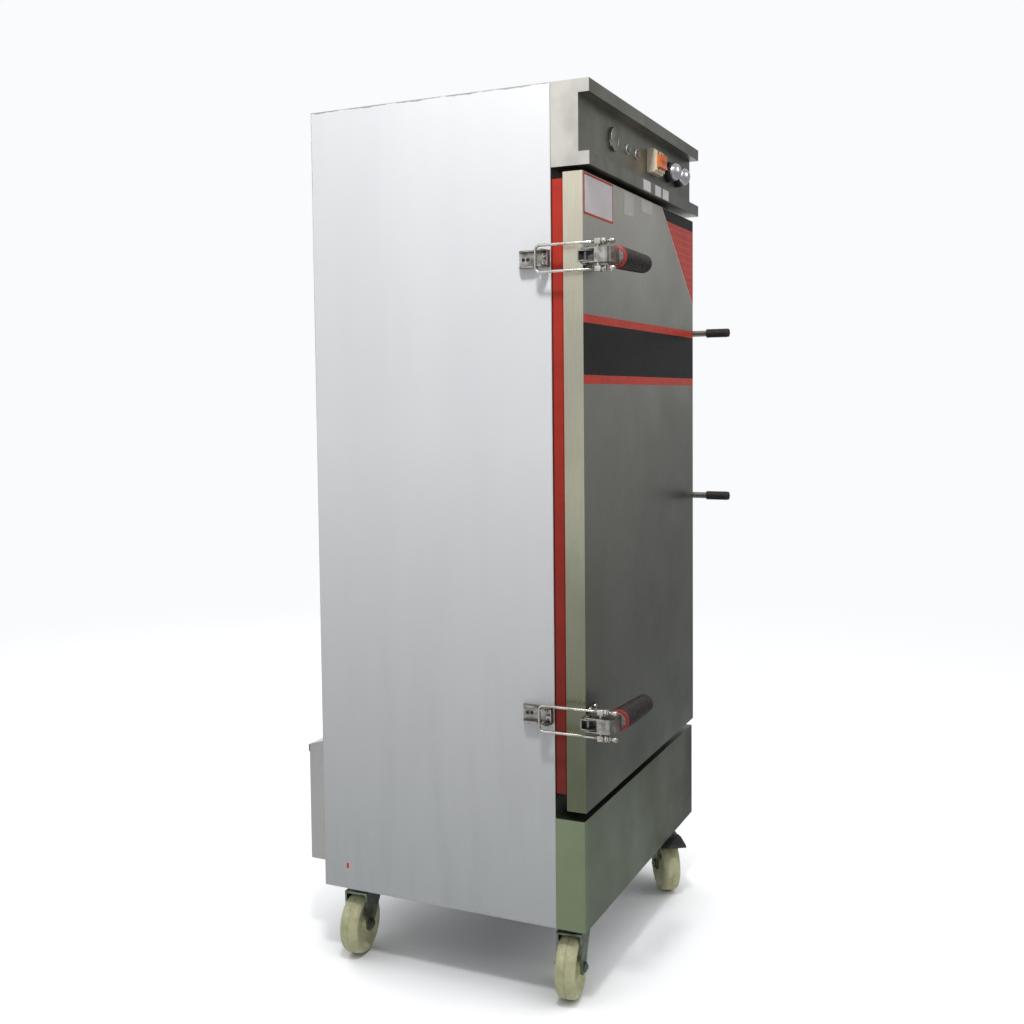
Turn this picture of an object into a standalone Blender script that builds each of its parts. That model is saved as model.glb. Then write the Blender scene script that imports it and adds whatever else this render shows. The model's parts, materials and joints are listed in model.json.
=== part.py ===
"""Rice steamer cabinet on castors.

Metres, +Z up. The front faces -Y. The origin is on the floor, under the middle of the whole object.
A closed insulated cabinet with a hinged door, two draw latches, a control fascia and a plinth.
"""

import math

import bmesh
import bpy
from mathutils import Matrix, Vector

# Fits
seat = 0.0003  # gap left between two pieces that touch
running = 0.0003  # gap round a pin that turns in a hole
loose = 0.0006  # gap round a thick pin or a pushed-on sleeve
overrun = 0.002  # how far a cutter passes the face it cuts through

# Cabinet body, without the castors
cabinet_width = 0.7000
cabinet_depth = 0.5044
cabinet_height = 1.5354
sheet = 0.0012
liner_sheet = 0.0010
side_wall = 0.045
back_wall = 0.045

# Cooking chamber and its mouth, heights above the cabinet's underside
basin_floor = 0.060
mouth_bottom = 0.290
mouth_from_top = 0.2094

# Control fascia
fascia_height = 0.1492
fascia_depth = 0.0735
fascia_recess = 0.0205
fascia_lip = 0.0236

# Plinth
plinth_height = 0.2076
plinth_depth = 0.0569

# Door
door_gap_top = 0.0096
door_gap_bottom = 0.0167
door_thickness = 0.0374
door_sheet = 0.0012
gasket_thickness = 0.0229
gasket_width = 0.030
gasket_inset = 0.0010
gasket_top_inset = 0.0110
gasket_bottom_inset = 0.0300
gasket_chamfer = 0.0025
door_plug_height = 0.0100
door_plug_margin = 0.006
door_plug_taper = 0.008

# Hinges: the lower one from the cabinet's underside, the upper one from its top
hinge_low = 0.3955
hinge_from_top = 0.3149
hinge_axis_out = 0.0070
hinge_length = 0.110
hinge_knuckle_radius = 0.0060
hinge_pin_radius = 0.0032
hinge_plate = 0.0025
hinge_middle_length = 0.042
hinge_cabinet_reach = 0.045
hinge_screw_radius = 0.0042
hinge_screw_head = 0.0022

# Pull handles on the door's right edge, down from the cabinet's top
pull_from_top = (0.7884, 0.4134)
pull_reach = 0.0795  # from the door's front face to the tip
pull_stud_radius = 0.0072
pull_grip_radius = 0.0105
pull_grip_length = 0.0540
pull_bend = 0.010
pull_foot_half = 0.015
pull_foot_plate = 0.003
pull_end_cover = 0.004

# Draw latches on the left: the lower one from the cabinet's underside, the upper one from its top
latch_low = 0.3980
latch_from_top = 0.3117
side_reach = 0.0360  # how far the latches and the pull grips stand out from the cabinet's sides
latch_pivot_out = 0.0250
latch_pivot_ahead = 0.0147
latch_arm = 0.0240  # lever pivot to cross pin
latch_pin_radius = 0.0035
latch_pin_head_radius = 0.0056
latch_sheet = 0.0023
latch_ear_half = 0.0101
latch_ear_back = 0.0125
latch_ear_front = 0.0160
latch_ear_left = 0.0080
latch_foot_inset = 0.006
latch_foot_width = 0.044
latch_foot_half = 0.0195
latch_screw_radius = 0.0042
latch_screw_head = 0.0024
latch_screw_inset = 0.0048
latch_screw_apart = 0.0246
lever_gap = 0.0006
lever_eye_radius = 0.0090
lever_web_start = 0.0195
lever_front = 0.0490  # pivot to the lever's front face
lever_depth = 0.0150
lever_neck = 0.0360  # pivot to where the grip starts
lever_corner = 0.009
lever_root_length = 0.0090
tang_root_length = 0.0045
tang_radius = 0.0060
grip_length = 0.1460
grip_lean = 0.0070
grip_gap = 0.0014  # the collar leans, so it needs more than a seat
grip_collar_radius = 0.0210
grip_collar_length = 0.0105
grip_root_radius = 0.0200
grip_tip_radius = 0.0175
grip_rib_count = 5
grip_rib_depth = 0.0012
grip_rib_share = 0.45  # of the ribs' spacing that is level
grip_tip_round = 0.006
bar_spacing = 0.0470
bar_radius = 0.0026
bar_bend = 0.008
bar_hook_depth = 0.0200  # cabinet front to the middle of the bar's loop
bar_thread_length = 0.0285
bar_block = 0.0120
bar_block_height = 0.0110
bar_nut_radius = 0.0064
bar_nut_length = 0.0085
bar_nut_space = 0.0010
bar_tip_radius = 0.0055
bar_tip_length = 0.0090

# Keepers on the left side sheet
keeper_length = 0.0590
keeper_half = 0.0153
keeper_rise = 0.0020  # the keeper stands a little above its latch
keeper_plate = 0.0025
keeper_ear_depth = 0.0255
keeper_ear_length = 0.0150
keeper_ear_share = 0.6  # of the ear's length that is level
keeper_front_inset = 0.0020
keeper_lip_depth = 0.010
keeper_lobe_depth = 0.0115
keeper_lobe_start = 0.0060
keeper_lobe_round = 0.0060
keeper_hole_radius = 0.0035
keeper_hole_spacing = 0.0086
keeper_hole_inset = 0.0080  # the rear hole to the plate's back edge
keeper_screw_radius = 0.0045
keeper_screw_head = 0.0030
keeper_screw_spacing = 0.0135

# Castors
caster_height = 0.1460
caster_inset_side = 0.080
caster_inset_end = 0.050
caster_trail = 0.038
caster_plate_length = 0.096
caster_plate_width = 0.086
caster_plate_thickness = 0.0040
caster_race_radius = 0.034
caster_swivel_radius = 0.030
caster_swivel_height = 0.0080
caster_kingpin_radius = 0.0060
caster_nut_radius = 0.0105
caster_nut_height = 0.0050
caster_angles_degrees = {"front_left": 188.0, "back_left": 186.0, "front_right": 213.0, "back_right": 201.0}
wheel_radius = 0.0605
wheel_tread_half = 0.0050
wheel_shoulder_drops = (0.0030, 0.0085, 0.0140)
wheel_shoulder_halves = (0.0120, 0.0175, 0.0195)
wheel_web_radius = 0.0360
wheel_web_half = 0.0120
wheel_hub_radius = 0.0170
wheel_hub_half = 0.0201
axle_radius = 0.0060
axle_head_radius = 0.0080
axle_head_height = 0.0050
fork_sheet = 0.0040
fork_inner_half = 0.0205
fork_crown_clearance = 0.0035
fork_back = 0.0280
fork_front = 0.0180
fork_foot_radius = 0.0150
pedal_width = 0.0575
pedal_sheet = 0.0030
pedal_start = 0.0225
pedal_length = 0.0420
pedal_drop = 0.0050
pedal_lip_drop = 0.0080
pedal_cheek_height = 0.0240
pedal_cheek_back = 0.0050
pedal_side_gap = 0.0006
pedal_pin_radius = 0.0025
pedal_pin_head_radius = 0.0045
pedal_pin_head = 0.0015
pedal_braked = ("front_right", "back_right")

# Trays and the racks that carry them
tray_levels = 12
tray_first = 0.3050  # first runner above the cabinet's underside
tray_stock = (1, 4, 7, 10)  # runners that hold a tray
tray_side_gap = 0.0032  # between a tray's rim and a rack's sheet
tray_back_gap = 0.0244
tray_height = 0.050
tray_rim = 0.017
tray_sheet = 0.0010
tray_rim_sheet = 0.0016
tray_taper = 0.010
tray_corner = 0.015
tray_front = 0.035
rack_sheet = 0.0015
rack_runner = 0.0180
rack_front = 0.030
rack_back_gap = 0.0194
rack_post = 0.030
rack_top_clear = 0.010
rack_window_margin = 0.012

# Heater in the basin
heater_height = 0.045
heater_radius = 0.0060
heater_runs = 6
heater_side_gap = 0.165
heater_front = 0.075
heater_back_gap = 0.0944
heater_flange_half = 0.022
heater_flange_thickness = 0.0060
heater_flange_margin = 0.020

# Water supply box on the back
tank_left = 0.060
tank_width = 0.280
tank_depth = 0.0732
tank_bottom = 0.022
tank_back_height = 0.262
tank_wall_height = 0.285
tank_sheet = 0.0012
lid_sheet = 0.0012
lid_lip = 0.014
lid_side = 0.0015
lid_end_gap = 0.0045
lid_hinge_out = 0.0042
lid_hinge_radius = 0.0034
lid_hinge_sides = 12
lid_tongue_share = 0.15
lid_pin_radius = 0.0015
lid_pin_length = 0.008
lid_ear_radius = 0.0036
lid_notch = 0.0100
valve_height = 0.225
valve_radius = 0.0070
valve_nut_radius = 0.0115
valve_nut_length = 0.0060
valve_inside = 0.022
valve_outside = 0.022
valve_tongue = 0.012
valve_tongue_half = 0.0035
valve_tongue_share = 0.7  # of the valve's radius
float_pin_radius = 0.0020
float_pin_length = 0.0090
float_eye_radius = 0.0060
float_eye_width = 0.0050
float_rod_radius = 0.0022
float_arm_across = 0.112
float_arm_drop = 0.034
float_radius = 0.0250

# Drain, vent and cable gland on the back
drain_from_right = 0.140
drain_height = 0.075
drain_pipe_radius = 0.0100
drain_flange_radius = 0.0200
drain_flange_thickness = 0.0040
drain_hex_radius = 0.0150
drain_hex_length = 0.0120
drain_body_radius = 0.0175
drain_body_length = 0.0240
drain_outlet_radius = 0.0115
drain_outlet_length = 0.0100
drain_bore_radius = 0.0070
drain_bore_depth = 0.0180
drain_neck = 0.0060
drain_stem_radius = 0.0065
drain_stem_height = 0.0090
drain_lever_length = 0.0820
drain_lever_hub = 0.0090
drain_lever_tip = 0.0070
drain_lever_sheet = 0.0028
drain_nut_height = 0.0042
vent_from_top = 0.0954
vent_radius = 0.0120
vent_flange_radius = 0.0270
vent_flange_thickness = 0.0030
vent_out = 0.0320
vent_bend = 0.0180
vent_drop = 0.0480
vent_bore_radius = 0.0095
vent_bore_depth = 0.0200
gland_from_right = 0.055
gland_height = 0.075
gland_flange_radius = 0.0135
gland_flange_length = 0.0060
gland_nut_radius = 0.0120
gland_nut_length = 0.0140
gland_nose_radius = 0.0085
gland_nose_length = 0.0040
gland_bore_radius = 0.0050
gland_bore_depth = 0.0140

# Controls on the fascia, places as shares of its width from the left
cap_share = 0.260
cap_rise = 0.0040
cap_radius = 0.0230
cap_height = 0.0055
cap_round = 0.0014
cap_spigot_radius = 0.0100
lamp_shares = (0.3757, 0.4557)
lamp_bezel_radius = 0.0105
lamp_bezel_height = 0.0030
lamp_lens_radius = 0.0078
lamp_lens_height = 0.0035
lamp_body_radius = 0.0085
lamp_body_depth = 0.0260
breaker_share = 0.5979
breaker_width = 0.0610
breaker_height = 0.0470
breaker_proud = 0.0200
breaker_step = 0.0050
breaker_shoulder = 0.0040
breaker_body_width = 0.0520
breaker_body_height = 0.0380
breaker_body_depth = 0.0320
rocker_width = 0.0460
rocker_height = 0.0270
rocker_thickness = 0.0090
rocker_proud = 0.0055
rocker_radius = 0.0420
rocker_gap = 0.0008
knob_shares = (0.7615, 0.8570)
knob_radius = 0.0215
knob_height = 0.0300
knob_skirt_height = 0.0090
knob_dome_radius = 0.0198
knob_dome_height = 0.0165
knob_foot_gap = 0.0006
knob_mark_half = 0.0012
knob_mark_proud = 0.0008
knob_shaft_radius = 0.0030
knob_shaft_depth = 0.0180
panel_spigot_depth = 0.0080

# Facets
round_sides = 10
fine_sides = 16
wheel_sides = 16
bar_sides = 8
grip_sides = 12
screw_sides = 6

# Worked out once from the sizes above
half_width = cabinet_width / 2
chamber_half = half_width - side_wall
mouth_top = cabinet_height - mouth_from_top
door_front_offset = gasket_thickness + door_thickness
front_reach = door_front_offset + pull_reach
back_reach = cabinet_depth + tank_depth + seat + lid_sheet
front_y = (front_reach - back_reach) / 2
back_y = front_y + cabinet_depth
base_z = caster_height
top_z = base_z + cabinet_height
door_front_y = front_y - door_front_offset
door_back_y = front_y - gasket_thickness
door_bottom_z = base_z + plinth_height + door_gap_bottom
door_top_z = top_z - fascia_height - door_gap_top
fascia_panel_y = front_y - fascia_depth + fascia_recess
fascia_middle_z = top_z - fascia_height / 2
hinge_heights = (hinge_low, cabinet_height - hinge_from_top)
latch_heights = (latch_low, cabinet_height - latch_from_top)
tray_spacing = (mouth_top - tray_first) / tray_levels
tray_length = 2 * (chamber_half - seat - rack_sheet - tray_side_gap)
tray_depth_across = cabinet_depth - back_wall - tray_front - tray_back_gap
rack_length = cabinet_depth - back_wall - rack_front - rack_back_gap
heater_spacing = 2 * (chamber_half - heater_side_gap) / (heater_runs - 1)
heater_back = cabinet_depth - back_wall - heater_back_gap


def clear_scene():
    for thing in list(bpy.data.objects):
        bpy.data.objects.remove(thing, do_unlink=True)


def finish(name, colour, roughness, metallic):
    """One material with the piece's own colour."""
    made = bpy.data.materials.new(name)
    made.use_nodes = True
    shader = made.node_tree.nodes["Principled BSDF"]
    shader.inputs["Base Color"].default_value = (*colour, 1.0)
    shader.inputs["Roughness"].default_value = roughness
    shader.inputs["Metallic"].default_value = metallic
    made.diffuse_color = (*colour, 1.0)
    return made


def steel(name):
    return finish(name, (0.62, 0.62, 0.60), 0.32, 1.0)


def from_bmesh(name, mesh_builder):
    """Turns a bmesh into an object whose faces point out."""
    bmesh.ops.recalc_face_normals(mesh_builder, faces=mesh_builder.faces)
    mesh = bpy.data.meshes.new(name)
    mesh_builder.to_mesh(mesh)
    mesh_builder.free()
    thing = bpy.data.objects.new(name, mesh)
    bpy.context.scene.collection.objects.link(thing)
    return thing


def block(low, high):
    """A box between two corners."""
    builder = bmesh.new()
    bmesh.ops.create_cube(builder, size=1.0)
    size = Vector(high) - Vector(low)
    middle = (Vector(high) + Vector(low)) / 2
    bmesh.ops.scale(builder, vec=size, verts=builder.verts)
    bmesh.ops.translate(builder, vec=middle, verts=builder.verts)
    return from_bmesh("block", builder)


AXIS_FRAMES = {
    "X": Matrix(((0, 0, 1), (1, 0, 0), (0, 1, 0))),
    "Y": Matrix(((1, 0, 0), (0, 0, 1), (0, 1, 0))),
    "Z": Matrix(((1, 0, 0), (0, 1, 0), (0, 0, 1))),
}


def prism(outline, low, high, axis):
    """Extrudes an outline along an axis. Its points are (y, z) for X, (x, z) for Y and (x, y) for Z."""
    frame = AXIS_FRAMES[axis]
    builder = bmesh.new()
    corners = [builder.verts.new(frame @ Vector((a, b, low))) for a, b in outline]
    face = builder.faces.new(corners)
    grown = bmesh.ops.extrude_face_region(builder, geom=[face])
    moved = [item for item in grown["geom"] if isinstance(item, bmesh.types.BMVert)]
    bmesh.ops.translate(builder, vec=frame @ Vector((0, 0, high - low)), verts=moved)
    return from_bmesh("prism", builder)


def loft(rings):
    """Joins rings of equally many points, and caps the first and the last."""
    builder = bmesh.new()
    made = [[builder.verts.new(point) for point in ring] for ring in rings]
    count = len(made[0])
    for first, second in zip(made, made[1:]):
        for i in range(count):
            j = (i + 1) % count
            builder.faces.new((first[i], first[j], second[j], second[i]))
    builder.faces.new(made[0])
    builder.faces.new(made[-1])
    return from_bmesh("loft", builder)


def turned(profile, sides, axis, centre, half_turned=False):
    """Revolves (radius, place) pairs about an axis through the centre; places run along the axis."""
    frame = AXIS_FRAMES[axis]
    start = math.pi / sides if half_turned else 0.0
    rings = []
    for radius, place in profile:
        ring = []
        for i in range(sides):
            angle = start + 2 * math.pi * i / sides
            point = Vector((radius * math.cos(angle), radius * math.sin(angle), place))
            ring.append(frame @ point + Vector(centre))
        rings.append(ring)
    return loft(rings)


def rod(radius, low, high, axis, centre, sides=round_sides):
    """A plain cylinder from low to high along an axis, counted from the centre."""
    return turned(((radius, low), (radius, high)), sides, axis, centre)


def swept(path, radius, sides):
    """A round rod along a path of points, with its sections square to the path."""
    points = [Vector(point) for point in path]
    last = len(points) - 1
    rings = []
    side = None
    for i, point in enumerate(points):
        ahead = (points[min(i + 1, last)] - point).normalized()
        behind = (point - points[max(i - 1, 0)]).normalized()
        along = (ahead + behind).normalized()
        if side is None:
            side = along.orthogonal().normalized()
        side = (side - along * side.dot(along)).normalized()
        up = along.cross(side)
        bend = max(along.dot(ahead if i < last else behind), math.cos(math.pi / 4))
        turn = ahead - behind
        ring = []
        for k in range(sides):
            angle = 2 * math.pi * (k + 0.5) / sides
            offset = radius * (side * math.cos(angle) + up * math.sin(angle))
            if turn.length > 0 and 0 < i < last:
                inward = turn.normalized()
                offset += inward * offset.dot(inward) * (1 / bend - 1)
            ring.append(point + offset)
        rings.append(ring)
    return loft(rings)


def arc(centre, radius, start, stop, steps):
    """Points on an arc in a plane, angles in degrees."""
    angles = [math.radians(start + (stop - start) * i / steps) for i in range(steps + 1)]
    return [(centre[0] + radius * math.cos(a), centre[1] + radius * math.sin(a)) for a in angles]


def rounded_rectangle(half_across, half_along, corner, steps):
    """Points round a rectangle with round corners, centred on zero."""
    points = []
    for sign_x, sign_y, start in ((1, 1, 0), (-1, 1, 90), (-1, -1, 180), (1, -1, 270)):
        centre = (sign_x * (half_across - corner), sign_y * (half_along - corner))
        points.extend(arc(centre, corner, start, start + 90, steps))
    return points


def combined(target, tools, operation):
    """Applies booleans one after another and removes the tools."""
    for tool in tools:
        step = target.modifiers.new(operation.lower(), "BOOLEAN")
        step.operation = operation
        step.solver = "EXACT"
        step.object = tool
        bpy.context.view_layer.update()
        evaluated = target.evaluated_get(bpy.context.evaluated_depsgraph_get())
        result = bpy.data.meshes.new_from_object(evaluated)
        target.modifiers.clear()
        old = target.data
        target.data = result
        bpy.data.meshes.remove(old)
        bpy.data.objects.remove(tool, do_unlink=True)
    return target


def united(target, *tools):
    return combined(target, tools, "UNION")


def cut(target, *tools):
    return combined(target, tools, "DIFFERENCE")


def piece(name, thing, material, pivot=None):
    """Names a finished piece, gives it its material, and puts its origin on its pivot."""
    thing.name = name
    thing.data.name = name
    thing.data.materials.clear()
    thing.data.materials.append(material)
    thing.data.shade_smooth()
    thing.data.set_sharp_from_angle(angle=math.radians(32))
    if pivot is not None:
        thing.data.transform(Matrix.Translation(-Vector(pivot)))
        thing.location = pivot
    return thing


def carried(thing, parent):
    """Parents a piece and leaves it where it is."""
    thing.parent = parent
    thing.matrix_parent_inverse = Matrix.Translation(-parent.location)
    return thing


def side_sheets():
    """The two outer side sheets, flush with the cabinet's front, back, top and underside."""
    low = (-half_width, front_y, base_z)
    high = (-half_width + sheet, back_y, top_z)
    piece("side_panel_left", block(low, high), steel("side_left_steel"))
    low = (half_width - sheet, front_y, base_z)
    high = (half_width, back_y, top_z)
    piece("side_panel_right", block(low, high), steel("side_right_steel"))


def between_sides():
    """Half the width that is left between the side sheets."""
    return half_width - sheet - seat


def back_and_top():
    half = between_sides()
    back = block((-half, back_y - sheet, base_z), (half, back_y, top_z))
    piece("back_panel", back, steel("back_steel"))
    top = block((-half, front_y, top_z - sheet), (half, back_y - sheet - seat, top_z))
    piece("top_panel", top, steel("top_steel"))


def caster_places():
    """The swivel axis of each castor, on the floor."""
    left = -half_width + caster_inset_side
    right = half_width - caster_inset_side
    front = front_y - plinth_depth + caster_inset_end
    back = back_y - caster_inset_end
    return {
        "front_left": (left, front, 0.0),
        "back_left": (left, back, 0.0),
        "front_right": (right, front, 0.0),
        "back_right": (right, back, 0.0),
    }


def floor_pan():
    """The bottom sheet, with the castors' top plates, upper races and king pins riveted under it."""
    half = between_sides()
    low = (-half, front_y, base_z)
    high = (half, back_y - sheet - seat, base_z + sheet)
    pan = block(low, high)
    nose = block(
        (-half, front_y - plinth_depth + sheet + seat, base_z), (half, front_y + sheet, base_z + sheet)
    )
    parts = [nose]
    plate_low = base_z - caster_plate_thickness
    race_low = crown_low() + fork_sheet + caster_swivel_height + seat
    pin_low = crown_low() - seat - caster_nut_height
    for x, y, z in caster_places().values():
        parts.append(
            block(
                (x - caster_plate_length / 2, y - caster_plate_width / 2, plate_low),
                (x + caster_plate_length / 2, y + caster_plate_width / 2, base_z + sheet / 2),
            )
        )
        race_top = plate_low + caster_plate_thickness / 2
        parts.append(rod(caster_race_radius, race_low, race_top, "Z", (x, y, z), fine_sides))
        parts.append(rod(caster_kingpin_radius, pin_low, race_top, "Z", (x, y, z)))
        nut_top = pin_low + caster_nut_height
        parts.append(rod(caster_nut_radius, pin_low, nut_top, "Z", (x, y, z), screw_sides))
    piece("floor_pan", united(pan, *parts), steel("floor_steel"))


def inner_liner():
    """The chamber's box, made in one with the front flange that the gasket closes on."""
    half = between_sides()
    inner_half = half_width - side_wall
    flange = block((-half, front_y, base_z + sheet + seat), (half, front_y + sheet, top_z - sheet - seat))
    shell_back = back_y - back_wall
    shell = block(
        (-inner_half - liner_sheet, front_y + sheet / 2, base_z + basin_floor - liner_sheet),
        (inner_half + liner_sheet, shell_back + liner_sheet, base_z + mouth_top + liner_sheet),
    )
    hollow = block(
        (-inner_half, front_y + sheet, base_z + basin_floor), (inner_half, shell_back, base_z + mouth_top)
    )
    mouth = block(
        (-inner_half, front_y - overrun, base_z + mouth_bottom),
        (inner_half, front_y + sheet + overrun, base_z + mouth_top),
    )
    piece("inner_liner", cut(united(flange, shell), hollow, mouth), steel("liner_steel"))


def insulation():
    """The slab wool that fills the space between the outer sheets and the liner."""
    half = between_sides()
    inner_half = half_width - side_wall + liner_sheet + seat
    slab = block(
        (-half, front_y + sheet + seat, base_z + sheet + seat),
        (half, back_y - sheet - seat, top_z - sheet - seat),
    )
    room = block(
        (-inner_half, front_y, base_z + basin_floor - liner_sheet - seat),
        (inner_half, back_y - back_wall + liner_sheet + seat, base_z + mouth_top + liner_sheet + seat),
    )
    piece("insulation", cut(slab, room), finish("insulation_wool", (0.78, 0.72, 0.45), 0.95, 0.0))


def fascia_outline(inset, back):
    """The fascia's side view. An inset gives the inside of its sheet."""
    lip_front = front_y - fascia_depth + inset
    panel = fascia_panel_y + inset
    bottom = top_z - fascia_height
    return [
        (back, top_z - inset),
        (lip_front, top_z - inset),
        (lip_front, top_z - fascia_lip + inset),
        (panel, top_z - fascia_lip + inset),
        (panel, bottom + fascia_lip - inset),
        (lip_front, bottom + fascia_lip - inset),
        (lip_front, bottom + inset),
        (back, bottom + inset),
    ]


def control_x(share):
    """The place across the fascia at a share of its width."""
    return -half_width + share * cabinet_width


def control_fascia():
    """The folded fascia box, with a hole for each control's neck."""
    outer = prism(fascia_outline(0.0, front_y - seat), -half_width, half_width, "X")
    room = prism(fascia_outline(sheet, front_y + overrun), -half_width + sheet, half_width - sheet, "X")
    low, high = -overrun, sheet + overrun
    holes = []
    round_holes = [(cap_share, cap_spigot_radius, fine_sides, cap_rise)]
    round_holes += [(share, lamp_body_radius, round_sides, 0.0) for share in lamp_shares]
    round_holes += [(share, knob_shaft_radius, round_sides, 0.0) for share in knob_shares]
    for share, radius, sides, rise in round_holes:
        centre = (control_x(share), fascia_panel_y, fascia_middle_z + rise)
        holes.append(rod(radius + running, low, high, "Y", centre, sides))
    x = control_x(breaker_share)
    half_x = breaker_body_width / 2 + seat
    half_z = breaker_body_height / 2 + seat
    holes.append(
        block(
            (x - half_x, fascia_panel_y + low, fascia_middle_z - half_z),
            (x + half_x, fascia_panel_y + high, fascia_middle_z + half_z),
        )
    )
    piece("control_fascia", cut(outer, room, *holes), steel("fascia_steel"))


def plinth_box():
    """The folded box below the door, open to the cabinet behind it and to the floor pan."""
    outer = block(
        (-half_width, front_y - plinth_depth, base_z), (half_width, front_y - seat, base_z + plinth_height)
    )
    room = block(
        (-half_width + sheet, front_y - plinth_depth + sheet, base_z - overrun),
        (half_width - sheet, front_y + overrun, base_z + plinth_height - sheet),
    )
    piece("plinth_box", cut(outer, room), steel("plinth_steel"))


def panel_turned(profile, share, sides, rise=0.0):
    """A control turned about an axis square to the fascia; places run into the cabinet."""
    return turned(profile, sides, "Y", (control_x(share), fascia_panel_y, fascia_middle_z + rise))


def blanking_cap():
    profile = (
        (cap_radius - cap_round, -cap_height - seat),
        (cap_radius, -cap_height - seat + cap_round),
        (cap_radius, -seat),
        (cap_spigot_radius, -seat),
        (cap_spigot_radius, panel_spigot_depth),
    )
    cap = panel_turned(profile, cap_share, fine_sides, cap_rise)
    piece("blanking_cap", cap, finish("cap_zinc", (0.60, 0.60, 0.57), 0.35, 1.0))


def pilot_lamps():
    bezel = -lamp_bezel_height - seat
    profile = (
        (lamp_lens_radius / 2, bezel - lamp_lens_height),
        (lamp_lens_radius, bezel - lamp_lens_height / 2),
        (lamp_lens_radius, bezel),
        (lamp_bezel_radius, bezel),
        (lamp_bezel_radius, -seat),
        (lamp_body_radius, -seat),
        (lamp_body_radius, lamp_body_depth),
    )
    looks = (("left", (0.05, 0.30, 0.10)), ("right", (0.45, 0.05, 0.04)))
    for share, (side, colour) in zip(lamp_shares, looks):
        lamp = panel_turned(profile, share, round_sides)
        piece("pilot_lamp_" + side, lamp, finish("lamp_" + side, colour, 0.2, 0.0))


def rocker_axis():
    """The point in (y, z) that the rocker turns about."""
    return fascia_panel_y - breaker_proud + rocker_thickness / 2, fascia_middle_z


def breaker():
    """The breaker's stepped case with a well for its rocker, and the rocker."""
    x = control_x(breaker_share)
    case_front = fascia_panel_y - breaker_proud
    shoulder_y = case_front + breaker_step
    half_x = breaker_width / 2
    half_z = breaker_height / 2
    case = block(
        (x - half_x, shoulder_y, fascia_middle_z - half_z),
        (x + half_x, fascia_panel_y - seat, fascia_middle_z + half_z),
    )
    nose_x = half_x - breaker_shoulder
    nose_z = half_z - breaker_shoulder
    nose = block(
        (x - nose_x, case_front, fascia_middle_z - nose_z),
        (x + nose_x, shoulder_y + breaker_step, fascia_middle_z + nose_z),
    )
    body = block(
        (x - breaker_body_width / 2, shoulder_y, fascia_middle_z - breaker_body_height / 2),
        (
            x + breaker_body_width / 2,
            fascia_panel_y + breaker_body_depth,
            fascia_middle_z + breaker_body_height / 2,
        ),
    )
    well_half_x = rocker_width / 2 + rocker_gap
    well_half_z = rocker_height / 2 + rocker_gap
    well = block(
        (x - well_half_x, case_front - overrun, fascia_middle_z - well_half_z),
        (x + well_half_x, case_front + rocker_thickness + rocker_gap * 3, fascia_middle_z + well_half_z),
    )
    case = cut(united(case, nose, body), well)
    piece("breaker_body", case, finish("breaker_cream", (0.80, 0.74, 0.60), 0.45, 0.0))
    axis_y, axis_z = rocker_axis()
    bow = math.degrees(math.asin(rocker_height / 2 / rocker_radius))
    face_y = case_front - rocker_proud
    front = [
        (y, z)
        for z, y in arc((axis_z, face_y - rocker_radius), rocker_radius, 90 - bow, 90 + bow, 6)
    ]
    back_y_here = case_front + rocker_thickness
    half_back = rocker_height / 2 - rocker_gap
    outline = front + [(back_y_here, axis_z - half_back), (back_y_here, axis_z + half_back)]
    rocker = prism(outline, x - rocker_width / 2, x + rocker_width / 2, "X")
    material = finish("rocker_orange", (0.85, 0.22, 0.05), 0.3, 0.0)
    piece("breaker_rocker", rocker, material, (x, axis_y, axis_z))


def knobs():
    """Two domed control knobs, each with a skirt, a pointer on it and a shaft through the fascia."""
    foot = -knob_foot_gap
    shoulder = knob_height - knob_dome_height
    profile = []
    for across, out in arc((0.0, 0.0), 1.0, 75, 0, 5):
        profile.append((knob_dome_radius * across, -shoulder - knob_dome_height * out))
    profile += [
        (knob_dome_radius, -knob_skirt_height),
        (knob_radius, -knob_skirt_height),
        (knob_radius, foot),
        (knob_shaft_radius, foot),
        (knob_shaft_radius, knob_shaft_depth),
    ]
    for share, name in zip(knob_shares, ("timer_knob", "heat_knob")):
        knob = panel_turned(profile, share, fine_sides)
        x = control_x(share)
        mark_low = fascia_middle_z + knob_dome_radius
        mark_high = fascia_middle_z + knob_radius + knob_mark_proud
        mark = block(
            (x - knob_mark_half, fascia_panel_y - knob_skirt_height, mark_low),
            (x + knob_mark_half, fascia_panel_y + foot * 2, mark_high),
        )
        pivot = (x, fascia_panel_y, fascia_middle_z)
        piece(name, united(knob, mark), finish(name + "_metal", (0.80, 0.80, 0.80), 0.18, 1.0), pivot)


def rack_window(wall, face, front, low, high):
    """A cutter for the window between a rack's two posts."""
    return block(
        (min(wall, face) - overrun, front + rack_post, low),
        (max(wall, face) + overrun, front + rack_length - rack_post, high),
    )


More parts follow.
